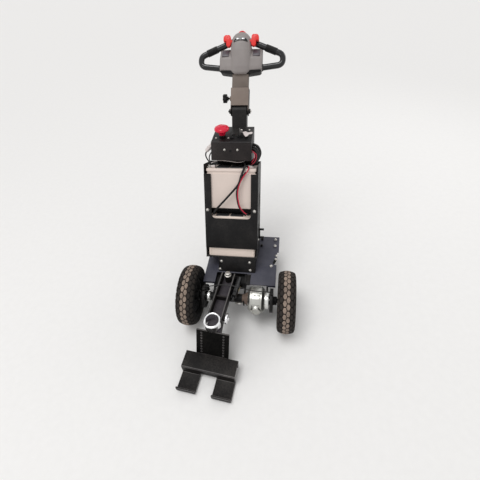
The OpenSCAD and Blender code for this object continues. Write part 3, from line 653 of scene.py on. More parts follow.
def dressed(node: str, finish: Finish) -> None:
    """Gives a CAD node that stays in view its finish.

    Args:
        node: The CAD node.
        finish: Its finish.
    """
    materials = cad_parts[node].data.materials
    materials.clear()
    materials.append(finish.material())
    log.info("%s dressed", node)


# Studio


@dataclass
class Studio:
    """Camera, lamps, floor and world, with the camera's place in metres and its angles in degrees."""

    eye: Point = (0.2272, -0.9204, 1.6097)
    pitch: float = 41.79
    yaw: float = -10.83
    roll: float = -5.05
    lens: float = 23.386
    shift: float = -0.0552
    sensor: float = 36.0
    floor_size: float = 90.0

    def aim(self) -> Matrix:
        """The camera's matrix, from its angles.

        Returns:
            The matrix.
        """
        p, y, r = (math.radians(a) for a in (self.pitch, self.yaw, self.roll))
        ahead = Vector((math.sin(y) * math.cos(p), math.cos(y) * math.cos(p), -math.sin(p)))
        right = Vector((math.cos(y), -math.sin(y), 0.0))
        up = right.cross(ahead)
        right, up = math.cos(r) * right + math.sin(r) * up, math.cos(r) * up - math.sin(r) * right
        return Matrix.Translation(Vector(self.eye)) @ Matrix((right, up, -ahead)).transposed().to_4x4()

    def placed(self, name: str, data: Optional[bpy.types.ID], where: Matrix) -> bpy.types.Object:
        """Puts a camera, a lamp or a mesh into the scene.

        Args:
            name: The object's name.
            data: Its data.
            where: Its place.

        Returns:
            The object.
        """
        made = bpy.data.objects.new(name, data)
        made.matrix_world = where
        bpy.context.scene.collection.objects.link(made)
        return made

    def camera(self) -> None:
        """Makes the camera that sees the machine as the photograph does."""
        data = bpy.data.cameras.new("camera")
        data.sensor_width = self.sensor
        data.lens = self.lens
        data.shift_y = self.shift
        bpy.context.scene.camera = self.placed("camera", data, self.aim())

    def lamp(self, name: str, place: Point, aim: Point, size: float, power: float, kind: str = "AREA") -> None:
        """Adds a lamp that looks at a point.

        Args:
            name: The lamp's name.
            place: Where it stands.
            aim: What it looks at.
            size: Side of its square in metres, or a sun's angle in radians.
            power: Watts, or a sun's strength.
            kind: AREA or SUN.
        """
        data = bpy.data.lights.new(name, kind)
        setattr(data, "size" if kind == "AREA" else "angle", size)
        data.energy = power
        turn = (Vector(aim) - Vector(place)).to_track_quat("-Z", "Y").to_matrix().to_4x4()
        self.placed(name, data, Matrix.Translation(Vector(place)) @ turn)

    def floor(self) -> None:
        """Makes the pale floor."""
        bm = bmesh.new()
        bmesh.ops.create_grid(bm, x_segments=8, y_segments=8, size=self.floor_size / 2)
        mesh = bpy.data.meshes.new("studio_floor")
        bm.to_mesh(mesh)
        bm.free()
        shading = Shading("pale_floor")
        cloud = shading.ramp(shading.noise(30.0, 3.0, 0.6), 0.3, 0.7)
        shading.give(Base_Color=shading.mix(cloud, (0.835, 0.83, 0.82), (0.855, 0.85, 0.84)), Roughness=0.8,
                     Specular_IOR_Level=0.2)
        mesh.materials.append(shading.material)
        self.placed("studio_floor", mesh, Matrix.Identity(4))

    def world(self) -> None:
        """Makes the world: soft light for the object, white where a camera or a mirror looks."""
        world = bpy.data.worlds.new("studio")
        bpy.context.scene.world = world
        world.use_nodes = True
        tree = world.node_tree
        soft = wired(tree, "Background", 0, {"Color": (1.0, 0.99, 0.985, 1.0), "Strength": 0.56})
        white = wired(tree, "Background", 0, {"Color": (1.0, 1.0, 1.0, 1.0), "Strength": 1.0})
        looks = wired(tree, "LightPath", "Is Camera Ray", {})
        path = looks.node
        for kind in ("Is Glossy Ray", "Is Transmission Ray"):
            looks = wired(tree, "Math", 0, {0: looks, 1: path.outputs[kind]}, operation="MAXIMUM")
        seen = wired(tree, "MixShader", 0, {0: looks, 1: soft, 2: white})
        feed(tree.nodes["World Output"].inputs["Surface"], seen)
        tree.nodes.remove(tree.nodes["Background"])

    def build(self) -> None:
        """Makes the whole studio."""
        bpy.context.scene.view_settings.view_transform = "Standard"
        self.camera()
        self.floor()
        self.world()
        self.lamp("overhead", (-0.9, -0.5, 5.0), (0.0, 0.1, 0.4), 0.55, 1.35, "SUN")
        self.lamp("front_left", (-2.3, -1.9, 1.9), (0.0, 0.1, 0.5), 1.2, 8.0)
        self.lamp("rear_right", (1.9, 2.2, 2.2), (0.0, 0.2, 0.6), 1.2, 7.0)
        log.info("studio ready")


# Sub-assemblies


@dataclass
class DriveWheel:
    """One pneumatic drive wheel with its honeycomb tread."""

    side: Side
    radius: float = 160.0
    width: float = 92.0
    rim: float = 88.0
    tread: float = 4.5
    cells: int = 30
    point: float = 11.6
    edge: float = 5.4
    fill: float = 0.84
    crown: float = 0.82
    drop: float = 13.0
    shoulder: float = 40.0
    nut_ring: float = 46.0
    valve_ring: float = 60.0

    @property
    def body(self) -> Body:
        """The body that the wheel rides on."""
        return Body(f"wheel_{self.side.word}")

    @property
    def centre(self) -> Point:
        """The wheel's middle."""
        return (self.side.value * LAYOUT.wheel_x, 0.0, LAYOUT.axle_z)

    def section(self) -> list[Flat]:
        """Half of the tyre's outer section.

        Returns:
            Points of (distance across, radius), nine on the crown and then four down to the wall.
        """
        half = self.width / 2
        across = (self.crown * k / 8 for k in range(9))
        top = [(half * share, self.radius - self.drop * share ** 2) for share in across]
        return top + [(half * 0.90, 148.0), (half * 0.955, 143.0), (half * 0.985, 136.0), (half, 128.0)]

    def unrolled(self, u: float) -> Flat:
        """Finds a point of the section by its distance along the rubber.

        Args:
            u: Distance from the middle, with the sign of its side.

        Returns:
            The point as (distance across, radius).
        """
        points = self.section()
        left = abs(u)
        for (s0, r0), (s1, r1) in zip(points, points[1:]):
            step = math.hypot(s1 - s0, r1 - r0)
            if left <= step:
                k = left / step
                return (math.copysign(s0 + (s1 - s0) * k, u), r0 + (r1 - r0) * k)
            left -= step
        return (math.copysign(points[-1][0], u), points[-1][1])

    def on_tread(self, around: float, u: float, sink: float) -> Vector:
        """A point of the tread.

        Args:
            around: Angle round the axle, in radians.
            u: Distance from the middle, along the rubber.
            sink: Depth under the tread's face.

        Returns:
            The point.
        """
        s, r = self.unrolled(u)
        r -= sink
        if abs(u) > self.shoulder:
            s -= math.copysign(sink * 0.6, u)
        return Vector(self.centre) + Vector((s, r * math.cos(around), r * math.sin(around)))

    def carcass(self) -> None:
        """Makes the carcass: the grooves' floor, the walls with their rings, and the beads."""
        half = self.width / 2
        floor = [(r - self.tread, s) for s, r in self.section()[:9]]
        wall = [(142.0, 0.885), (134.0, 0.935), (129.0, 0.985), (127.0, 1.0), (125.0, 0.985), (116.0, 0.995),
                (108.0, 0.975), (106.5, 0.995), (104.0, 0.985), (101.5, 0.94), (95.0, 0.85), (self.rim, 0.6)]
        side = floor + [(r, half * w) for r, w in wall]
        draft = Draft(f"tyre_{self.side.word}_carcass")
        draft.turned([(r, -s) for r, s in reversed(side)] + side[1:], self.centre, Axis.X, 96)
        draft.piece(Shop.TYRE, body=self.body, smooth=40, replaces=(f"tyre_{self.side.word}",))

    def lug(self, draft: Draft, corners: Sequence[Flat], slot: int) -> None:
        """Adds one tread block with rounded top edges.

        Args:
            draft: The piece that it goes into.
            corners: Its corners as (angle round the axle, distance from the middle).
            slot: Finish of its face.
        """
        n = len(corners)
        ca, cu = (sum(c[i] for c in corners) / n for i in (0, 1))
        rows = []
        for share, sink in ((1.03, self.tread + 1.0), (1.0, 0.8), (0.88, 0.0)):
            rows.append([draft.bm.verts.new(self.on_tread(ca + (a - ca) * share, cu + (u - cu) * share, sink))
                         for a, u in corners])
        foot, side, top = rows
        middle = draft.bm.verts.new(self.on_tread(ca, cu, 0.0))
        for k in range(n):
            j = (k + 1) % n
            draft.face([foot[k], foot[j], side[j], side[k]])
            draft.face([side[k], side[j], top[j], top[k]], slot)
            draft.face([top[k], top[j], middle], slot)

    def blocks(self) -> None:
        """Makes four rows of hexagonal blocks and the lugs that run over the shoulders."""
        draft = Draft(f"tyre_{self.side.word}_tread")
        half = math.pi / self.cells
        column = self.point + self.edge
        hexagon = [(half, self.edge), (0.0, self.point), (-half, self.edge),
                   (-half, -self.edge), (0.0, -self.point), (half, -self.edge)]
        inner, outer = 1.5 * column + self.edge, 1.5 * column + self.point
        shape = [(0.0, inner + 1.8), (half * 0.84, outer + 1.0), (half * 0.84, 47.0), (half * 0.6, 59.0),
                 (-half * 0.6, 59.0), (-half * 0.84, 47.0), (-half * 0.84, outer + 1.0)]
        for k in range(self.cells):
            for row in range(4):
                a0, u0 = (2 * k + row % 2) * half, (row - 1.5) * column
                self.lug(draft, [(a0 + a * self.fill, u0 + u * self.fill) for a, u in hexagon],
                         1 if row in (1, 2) else 2)
            for end, turn in ((-1, 1), (1, 0)):
                self.lug(draft, [((2 * k + turn) * half + a, end * u) for a, u in shape], 2)
        draft.piece(Shop.TYRE, Shop.TREAD, Shop.TREAD_SIDE, body=self.body, smooth=30)

    def dress_rim(self) -> None:
        """Gives the rim its paint, and adds the hub cap, the nuts and the valve."""
        out, middle = self.side.value, self.centre[0]
        inside = Zone(0, *sorted((0.0, out * (LAYOUT.wheel_x - 6))), 1)
        softened(f"rim_{self.side.word}", 1.2, Shop.RIM, Shop.UNDER, body=self.body, zones=(inside,))
        draft = Draft(f"hub_{self.side.word}")
        for a in angles(4):
            draft.bolt(LAYOUT.about_axle(middle - out * 3, self.nut_ring, a), (out, 0, 0), 8.0)
        draft.spun([(0.2, -6), (21, -6), (21, 1), (17, 5), (9, 7), (0.01, 7)],
                   seated((middle + out * 33.0, 0, LAYOUT.axle_z), out * 90, "Y"), 32)
        x, y, z = LAYOUT.about_axle(middle + out * 12, self.valve_ring, math.radians(35))
        draft.tube([(x, y, z), (x + out * 14, y * 0.98, z), (x + out * 24, y * 0.94, z)], 2.6, 10)
        draft.piece(Shop.ZINC, body=self.body)

    def build(self) -> None:
        """Makes the whole wheel."""
        self.carcass()
        self.blocks()
        self.dress_rim()


@dataclass
class TillerHead:
    """The moulded head: dome, shoulders, plates, handle loops, grips, paddles and belly button.

    Its heights, called k, are counted from the head's underside at t. Each row of the dome holds
    its height, half width, the Y of its front and of its back, and its squareness, 2 for an ellipse.
    """

    t: float = 195.0
    shoulder: float = 113.0
    handle_r: float = 15.5
    handle_out: float = 220.5
    handle_y: float = 6.0
    bend: float = 32.0
    voxel: float = 0.0026
    seam_y: float = 8.0
    gasket_r: float = 0.55
    where: Matrix = field(default_factory=LAYOUT.tiller)
    dome: tuple[tuple[float, ...], ...] = (
        (-8, 39, -30, 22, 3.4), (-3, 43, -36, 27, 3.3), (5, 51, -39, 32, 3.2), (25, 54, -44, 36, 3.0),
        (60, 56, -46, 40, 2.9), (110, 56, -48, 38, 2.8), (140, 55, -46, 34, 2.7), (165, 51.5, -42, 28, 2.6),
        (184, 45, -36, 20, 2.5), (197, 35, -29, 11, 2.3), (206, 22, -20, 2, 2.1), (211, 8, -11, -6, 2.0))

    def superellipse(self, k: float, half: float, front: float, back: float, power: float) -> list[Point]:
        """One cross-section of the dome.

        Args:
            k: Height of the section.
            half: Half width.
            front: Y of its front.
            back: Y of its back.
            power: Squareness.

        Returns:
            The section's points.
        """
        row = []
        for a in angles(40):
            x, y = (math.copysign(abs(w) ** (2 / power), w) for w in (math.cos(a), math.sin(a)))
            row.append((half * x, (front + back) / 2 + y * (back - front) / 2, self.t + k))
        return row

    def housing(self) -> None:
        """Makes the grey housing: the dome and the shoulders, fused and smoothed."""
        draft = Draft("head_housing", self.where).loft([self.superellipse(*row) for row in self.dome])
        side = [(-26, 4), (-31, 12), (-33, 30), (-32.5, 70), (-28, 82), (-4, 124), (4, 130), (18, 133),
                (29, 126), (33, 104), (34, 40), (31, 12), (24, 4)]
        y0, k0 = 2.0, 64.0
        half = ((self.shoulder, 0.80), (111, 0.89), (106, 0.95), (92, 0.99), (40, 1.0))
        rows = []
        for x, share in [(-x, share) for x, share in half] + [*reversed(half)]:
            back = 7.0 * (abs(x) / self.shoulder) ** 2
            rows.append([(x, back * (y < 0) + y0 + (y - y0) * share,
                          self.t + k0 + (k - k0) * (0.5 + share / 2) + back * (k < 30)) for y, k in side])
        made = draft.loft(rows).piece(Shop.HEAD, body=Body.TILLER, smooth=60, replaces=("tiller_head",))
        fuse = made.modifiers.new("fuse", "REMESH")
        fuse.mode = "VOXEL"
        fuse.voxel_size = self.voxel
        soften = made.modifiers.new("soften", "SMOOTH")
        soften.factor = 0.6
        soften.iterations = 5
        self.settle(made, Shop.HEAD)
        self.seam(made)

    def settle(self, made: bpy.types.Object, finish: Finish) -> None:
        """Applies a piece's modifiers, so that its mesh is final.

        Args:
            made: The piece.
            finish: Its finish.
        """
        graph = bpy.context.evaluated_depsgraph_get()
        mesh = bpy.data.meshes.new_from_object(made.evaluated_get(graph))
        made.modifiers.clear()
        made.data = mesh
        mesh.materials.clear()
        mesh.materials.append(finish.material())
        mesh.shade_smooth()

    def seam(self, made: bpy.types.Object) -> None:
        """Makes the fine gasket where the housing's front and back shells meet.

        Args:
            made: The finished housing.
        """
        bm = bmesh.new()
        bm.from_mesh(made.data)
        middle = made.matrix_world.inverted() @ ((self.where @ Vector((0.0, self.seam_y, self.t))) * MM)
        cut = bmesh.ops.bisect_plane(bm, geom=bm.verts[:] + bm.edges[:] + bm.faces[:], plane_co=middle,
                                     plane_no=self.where.to_3x3() @ Vector((0.0, 1.0, 0.0)))["geom_cut"]
        draft = Draft("head_seam")
        for edge in (e for e in cut if isinstance(e, bmesh.types.BMEdge)):
            a, b = ((made.matrix_world @ v.co) / MM for v in edge.verts)
            if (a - b).length > 0.05:
                draft.tube([tuple(a), tuple(b)], self.gasket_r, 6)
        bm.free()
        draft.piece(Shop.UNDER, body=Body.TILLER)

    def under_cover(self) -> None:
        """Makes the black cover under the shoulders and the collar round the tube."""
        corners = ((-1, -1, 0), (-1, -1, 8), (1, -1, 8), (1, -1, 0),
                   (1, 1, 0), (1, 1, 8), (-1, 1, 8), (-1, 1, 0))
        rows = [[(sx * (x - cut), (front if sy < 0 else back) + (8 - cut) * -sy * 0.6, self.t + k)
                 for sx, sy, cut in corners]
                for k, x, front, back in ((-7, 50, -25, 25), (-5, 60, -28, 28), (2, 102, -26, 31),
                                          (9, 109, -27.5, 33.5), (12, 109, -27.5, 33.5))]
        draft = Draft("head_under_cover", self.where).loft(rows)
        draft.bevel(1.5, angle=30).piece(Shop.UNDER, body=Body.TILLER)

    def front(self, k: float, x: float) -> float:
        """Finds the dome's front face.

        Args:
            k: Height on the dome.
            x: Distance from its middle.

        Returns:
            The Y of the face.
        """
        low, high = next(pair for pair in zip(self.dome, self.dome[1:]) if k <= pair[1][0])
        share = (k - low[0]) / (high[0] - low[0])
        half, y = (low[i] + (high[i] - low[i]) * share for i in (1, 2))
        back, power = 32.0, 2.7
        reach = (1 - min(0.98, abs(x) / half) ** power) ** (1 / power)
        return (y + back) / 2 - (back - y) / 2 * reach

    def inlay(self) -> None:
        """Makes the dome's dark inlay with its two small rocker buttons."""
        outline = [(-35, 158), (-26, 166), (-11, 171), (11, 171), (26, 166), (35, 158), (37, 147), (24, 151),
                   (9, 155), (-9, 155), (-24, 151), (-37, 147)]
        rows = [[(x, self.front(k, x) + d, self.t + k) for x, k in outline] for d in (-3.0, 5.0)]
        Draft("head_inlay", self.where).loft(rows).bevel(0.8, angle=40).piece(Shop.GLOSS, body=Body.TILLER)
        buttons = Draft("head_rocker_buttons", self.where)
        for x in (-15.0, 13.0):
            seat = seated((x, self.front(162, x) - 2.8, self.t + 162), 72)
            seat = seat @ Matrix.Diagonal((1.9, 1.0, 1.0, 1.0))
            buttons.spun([(0.1, -3), (4.2, -3), (4.2, 1.0), (3.2, 2.2), (0.01, 2.8)], seat, 24)
        buttons.piece(Shop.CHROME, body=Body.TILLER, smooth=50)

    def handle_path(self, side: Side) -> list[Point]:
        """The middle line of one handle loop, with round corners.

        Args:
            side: The loop's side.

        Returns:
            The line's points.
        """
        corners = [(60.0, 26.8), (self.handle_out, 46.0), (self.handle_out - 2, 98.0), (44.0, 170.0)]
        flat: list[Flat] = [corners[0]]
        for before, at, after in zip(corners, corners[1:], corners[2:]):
            a, p, b = Vector(before), Vector(at), Vector(after)
            u, v = (a - p).normalized(), (b - p).normalized()
            reach = self.bend / math.tan(u.angle(v) / 2)
            start, end = p + u * reach, p + v * reach
            for w in (k / 8 for k in range(9)):
                flat.append(tuple(start.lerp(p, w).lerp(p.lerp(end, w), w)))
        return [(side.value * x, self.handle_y, self.t + k) for x, k in flat + [corners[-1]]]

    def handles(self) -> None:
        """Makes the two closed loops with their grips and end collars."""
        loops = Draft("handle_loops_gloss", self.where)
        grips = Draft("handle_grip_sleeves", self.where)
        r = self.handle_r
        ribbed: list[Flat] = [(r - 0.5, 0.0), (r + 2.4, 0.0), (r + 2.9, 1.0), (r + 2.9, 3.4)]
        for z in (4 + 5.4 * k for k in range(10)):
            ribbed += [(r + 2.6, z), (r + 1.6, z + 0.8), (r + 1.6, z + 1.8), (r + 2.6, z + 2.6)]
        ribbed += [(r + 2.6, 58.0), (r + 2.2, 59.0), (r - 0.5, 59.0)]
        for side in Side:
            path = self.handle_path(side)
            start = Vector(path[-2])
            ahead = (Vector(path[-1]) - start).normalized()
            grips.spun(ribbed, facing(start + ahead * 16, ahead), 32)
            collar = seated(Vector(path[0]) + Vector((side.value * 52, 0, 6.5)), side.value * 90, "Y")
            loops.tube(path, r, 28).spun([(r - 1, -6), (r + 3.2, -6), (r + 3.2, 3), (r + 1.6, 6), (r - 1, 6)],
                                         collar, 32)
        loops.piece(Shop.GLOSS, body=Body.TILLER, smooth=50, replaces=("handle_loops",))
        grips.piece(Shop.GRIP, body=Body.TILLER, smooth=50, replaces=("handle_grips",))

    def build(self) -> None:
        """Makes the whole head, its paddles, belly button and side plates rounded on every edge."""
        self.housing()
        self.under_cover()
        self.inlay()
        self.handles()
        softened("paddles", 3.2, Shop.RED, body=Body.TILLER, segments=4)
        softened("belly_button", 1.2, Shop.RED, body=Body.TILLER, segments=3)
        softened("head_plates", 0.8, Shop.PLATE, body=Body.TILLER)


@dataclass
class TillerArm:
    """The sleeve that tilts on the post, the tube that slides in it, and their fastenings."""

    bolt_x: float = 57.0
    mouth: float = 110.0
    where: Matrix = field(default_factory=LAYOUT.tiller)

    def build(self) -> None:
        """Makes the tubes, the knob, the pivot's nut and bolt, and the guide strips in the sleeve's mouth."""
        # The sleeve is black paint. Its upper part takes the lightened finish (dust and painted light), and below
        # 25.8 it keeps the plain black.
        softened("tiller_sleeve", 1.6, Shop.SLEEVE, Shop.BLACK, body=Body.SLEEVE, segments=3,
                 zones=(Zone(2, -80.0, 25.8, 1, self.where),))
        # The tube takes black paint lightened for dust and painted light.
        softened("tiller_tube", 2.4, Shop.TILLER, body=Body.TILLER, segments=3)
        softened("sleeve_knob", 1.4, Shop.UNDER, body=Body.SLEEVE)
        for name, side, finish in (("nut", -1, Shop.UNDER), ("bolt", 1, Shop.ZINC)):
            draft = Draft(f"tiller_pivot_{name}", self.where)
            draft.bolt((side * self.bolt_x, 0, 0), (side, 0, 0), 6.5).piece(finish, body=Body.SLEEVE)
        lip = Draft("sleeve_guide_strip", self.where)
        for mx, my, hx, hy in ((-43.4, 0, 0.5, 20), (43.4, 0, 0.5, 20),
                               (0, -20.5, 43, 0.4), (0, 20.5, 43, 0.4)):
            lip.block((mx - hx, my - hy, self.mouth), (mx + hx, my + hy, self.mouth + 9.2))
        lip.piece(Shop.UNDER, body=Body.SLEEVE)


@dataclass
class ControlBox:
    """The control box with its stop button, key, screws and the side harnesses."""

    half: float = 103.0
    front_y: float = 18.0
    low: float = 528.3
    high: float = 620.3
    stop: Flat = (-52.0, 56.0)
    key: Flat = (40.0, 56.0)
    rib_ring: float = 23.0
    where: Matrix = field(default_factory=LAYOUT.column)

    def on_top(self, x: float, y: float, z: float = 0.0) -> Point:
        """A point over the level top face, measured from the middle of its front edge."""
        return tuple(self.where @ Vector((0.0, self.front_y, self.high)) + Vector((x, y, z)))

    def shell(self) -> None:
        """Makes the folded box with its front cover, socket and screws."""
        # The box's rounded edges take a lighter finish: a painted highlight along them.
        softened("control_box", 2.4, Shop.BLACK, Shop.LEDGE_HIGHLIGHT, segments=3, edge_slot=1)
        face = self.front_y - 1.6
        cover = Draft("control_box_front_cover", self.where)
        cover.block((-self.half + 5, face, self.low + 3), (self.half - 5, self.front_y + 1, self.high - 5))
        cover.bevel(0.9).piece(Shop.FRONT)
        hole = Draft("control_box_socket", self.where)
        hole.spun([(0.2, 0.6), (4.2, 0.6), (4.8, 1.6), (6.6, 1.6), (6.8, 0.0), (0.2, -0.2)],
                  seated((-3, face + 0.2, self.low + 48), 90), 28).piece(Shop.UNDER)
        screws = Draft("control_box_screws")
        for x in (-33, 33):
            at = self.where @ Vector((x, face, self.low + 54))
            screws.bolt(at, self.where.to_3x3() @ Vector((0, -1, 0)), 6.0, dome=True)
        for x, y in ((-82, 40), (-19, 41), (38, 128), (80, 128), (-90, 128)):
            screws.bolt(self.on_top(x, y), (0, 0, 1), 5.6, dome=True)
        screws.piece(Shop.ZINC, smooth=50)

    def stop_button(self) -> None:
        """Makes the mushroom-shaped stop button with its three ribs and its collar."""
        x, y = self.stop
        cap = Draft("stop_cap")
        cap.turned([(9, 12), (16, 12), (18, 18), (22.5, 26), (29, 32.5), (34.5, 36.2), (37.2, 38.8), (38, 42),
                    (37.4, 46.5), (35, 50.2), (29.5, 53.2), (21.5, 55.6), (15, 56.6), (12.5, 57.8), (9, 58.6),
                    (0.01, 58.8)], self.on_top(x, y), steps=64)
        for a in angles(3):
            bow = [(x + self.rib_ring * math.cos(a + w), y + self.rib_ring * math.sin(a + w))
                   for w in (-0.42, -0.2, 0, 0.2, 0.42)]
            cap.tube([self.on_top(*at, 55.4) for at in bow], 1.3, 8)
        cap.piece(Shop.STOP, smooth=40, replaces=("stop_button",))
        collar = [(0.1, 0.2), (19.5, 0.2), (19.5, 3), (18, 4.2), (13, 4.6), (12.6, 9), (10, 12.6), (0.1, 12.6)]
        Draft("stop_collar").turned(collar, self.on_top(x, y)).piece(Shop.UNDER, smooth=40)

    def key_switch(self) -> None:
        """Makes the key's barrel, its ring and tag, and the pilot lamp with the blank plug before it."""
        x, y = self.key
        barrel = [(0.1, 0.2), (15, 0.2), (15, 4), (13.6, 5.4), (10.5, 5.6), (10.5, 10), (9.6, 11), (0.1, 11)]
        Draft("key_barrel").turned(barrel, self.on_top(x, y), steps=40).piece(Shop.UNDER, smooth=40)
        softened("key_switch", 0.5, Shop.EDGE)
        outline = [(50, 77), (66, 86), (78, 74), (98, 80), (103, 72), (100, 62), (86, 56), (80, 38), (71, 31),
                   (62, 48)]
        tag = Draft("key_tag")
        tag.tube([self.on_top(x + 7 + 6 * math.cos(a), y - 4, 34 + 6 * math.sin(a))
                  for a in angles(20) + [math.tau]], 0.7, 8)
        tag.loft([[self.on_top(a, b, z) for a, b in outline] for z in (12.0, 14.6)]).bevel(0.7, angle=40)
        tag.piece(Shop.WHITE, smooth=40)
        lamp = Draft("pilot_lamp")
        lamp.turned([(0.1, 0.2), (8.5, 0.2), (8.5, 2.4), (6.8, 3.4), (5.2, 3.6), (4.6, 5.6), (2.6, 7.2),
                     (0.01, 7.6)], self.on_top(4, 76), steps=32)
        lamp.turned([(0.1, 0.2), (10, 0.2), (10, 5), (8.6, 6.4), (0.1, 6.4)], self.on_top(-2, 40), steps=32)
        lamp.piece(Shop.UNDER, smooth=40)

    def harness(self) -> None:
        """Makes the wires and the connector on both sides of the box, held close to it."""
        h, low = self.half, self.low
        black = (
            (3.4, [(-h - 22, 46, 50), (-h - 33, 46, 36), (-h - 34, 44, 18), (-h - 22, 40, -2), (-h - 2, 34, -24)]),
            (3.0, [(-h + 1, 80, 37), (-h - 14, 76, 33), (-h - 22, 66, 7), (-h - 9, 50, -17), (-h + 6, 44, -27)]),
            (6.4, [(h - 1, 70, 67), (h + 20, 66, 57), (h + 33, 58, 33), (h + 27, 46, 5), (h + 6, 34, -24)]),
            (6.4, [(h - 1, 90, 77), (h + 26, 84, 67), (h + 41, 72, 37), (h + 32, 60, 5), (h + 8, 48, -25)]),
            (5.0, [(h - 1, 50, 57), (h + 16, 48, 52), (h + 27, 42, 29), (h + 21, 34, 7), (h + 2, 30, -24)]),
            (6.4, [(h - 1, 110, 77), (h + 20, 106, 67), (h + 34, 94, 39), (h + 26, 78, 1), (h + 8, 64, -25)]),
            (5.0, [(h - 1, 66, 50), (h + 10, 62, 44), (h + 17, 54, 26), (h + 15, 46, 6), (h + 2, 40, -24)]))
        red = (
            (1.7, [(h - 1, 40, 49), (h + 12, 30, 43), (h + 18, 24, 27), (h + 14, 20, 10), (h + 2, 24, -9)]),
            (1.7, [(h - 1, 40, 40), (h + 20, 34, 36), (h + 26, 26, 17), (h + 16, 24, -7), (h - 2, 30, -22)]))
        for name, wires, sides, finish in (("black", black, 10, Shop.SHEATH), ("red", red, 8, Shop.RED_SHEATH)):
            draft = Draft(f"side_harness_{name}", self.where)
            for radius, route in wires:
                draft.wire([(x, y, low + s) for x, y, s in route], radius, sides)
            draft.piece(finish, smooth=50)
        start, end = Vector((-h + 1, 54, low + 80)), Vector((-h - 33, 48, low + 43))
        long = (end - start).length
        plug = Draft("harness_connector", self.where)
        plug.spun([(0.1, 0), (11, 0), (11.4, 4), (11.4, long * 0.5), (13.4, long * 0.52), (13.4, long * 0.62),
                   (11.8, long * 0.64), (11.8, long * 0.9), (9, long * 0.94), (9, long), (0.1, long)],
                  facing(start, end - start), 6).piece(Shop.WHITE, smooth=40)

    def build(self) -> None:
        """Makes the whole box."""
        self.shell()
        self.stop_button()
        self.key_switch()
        self.harness()


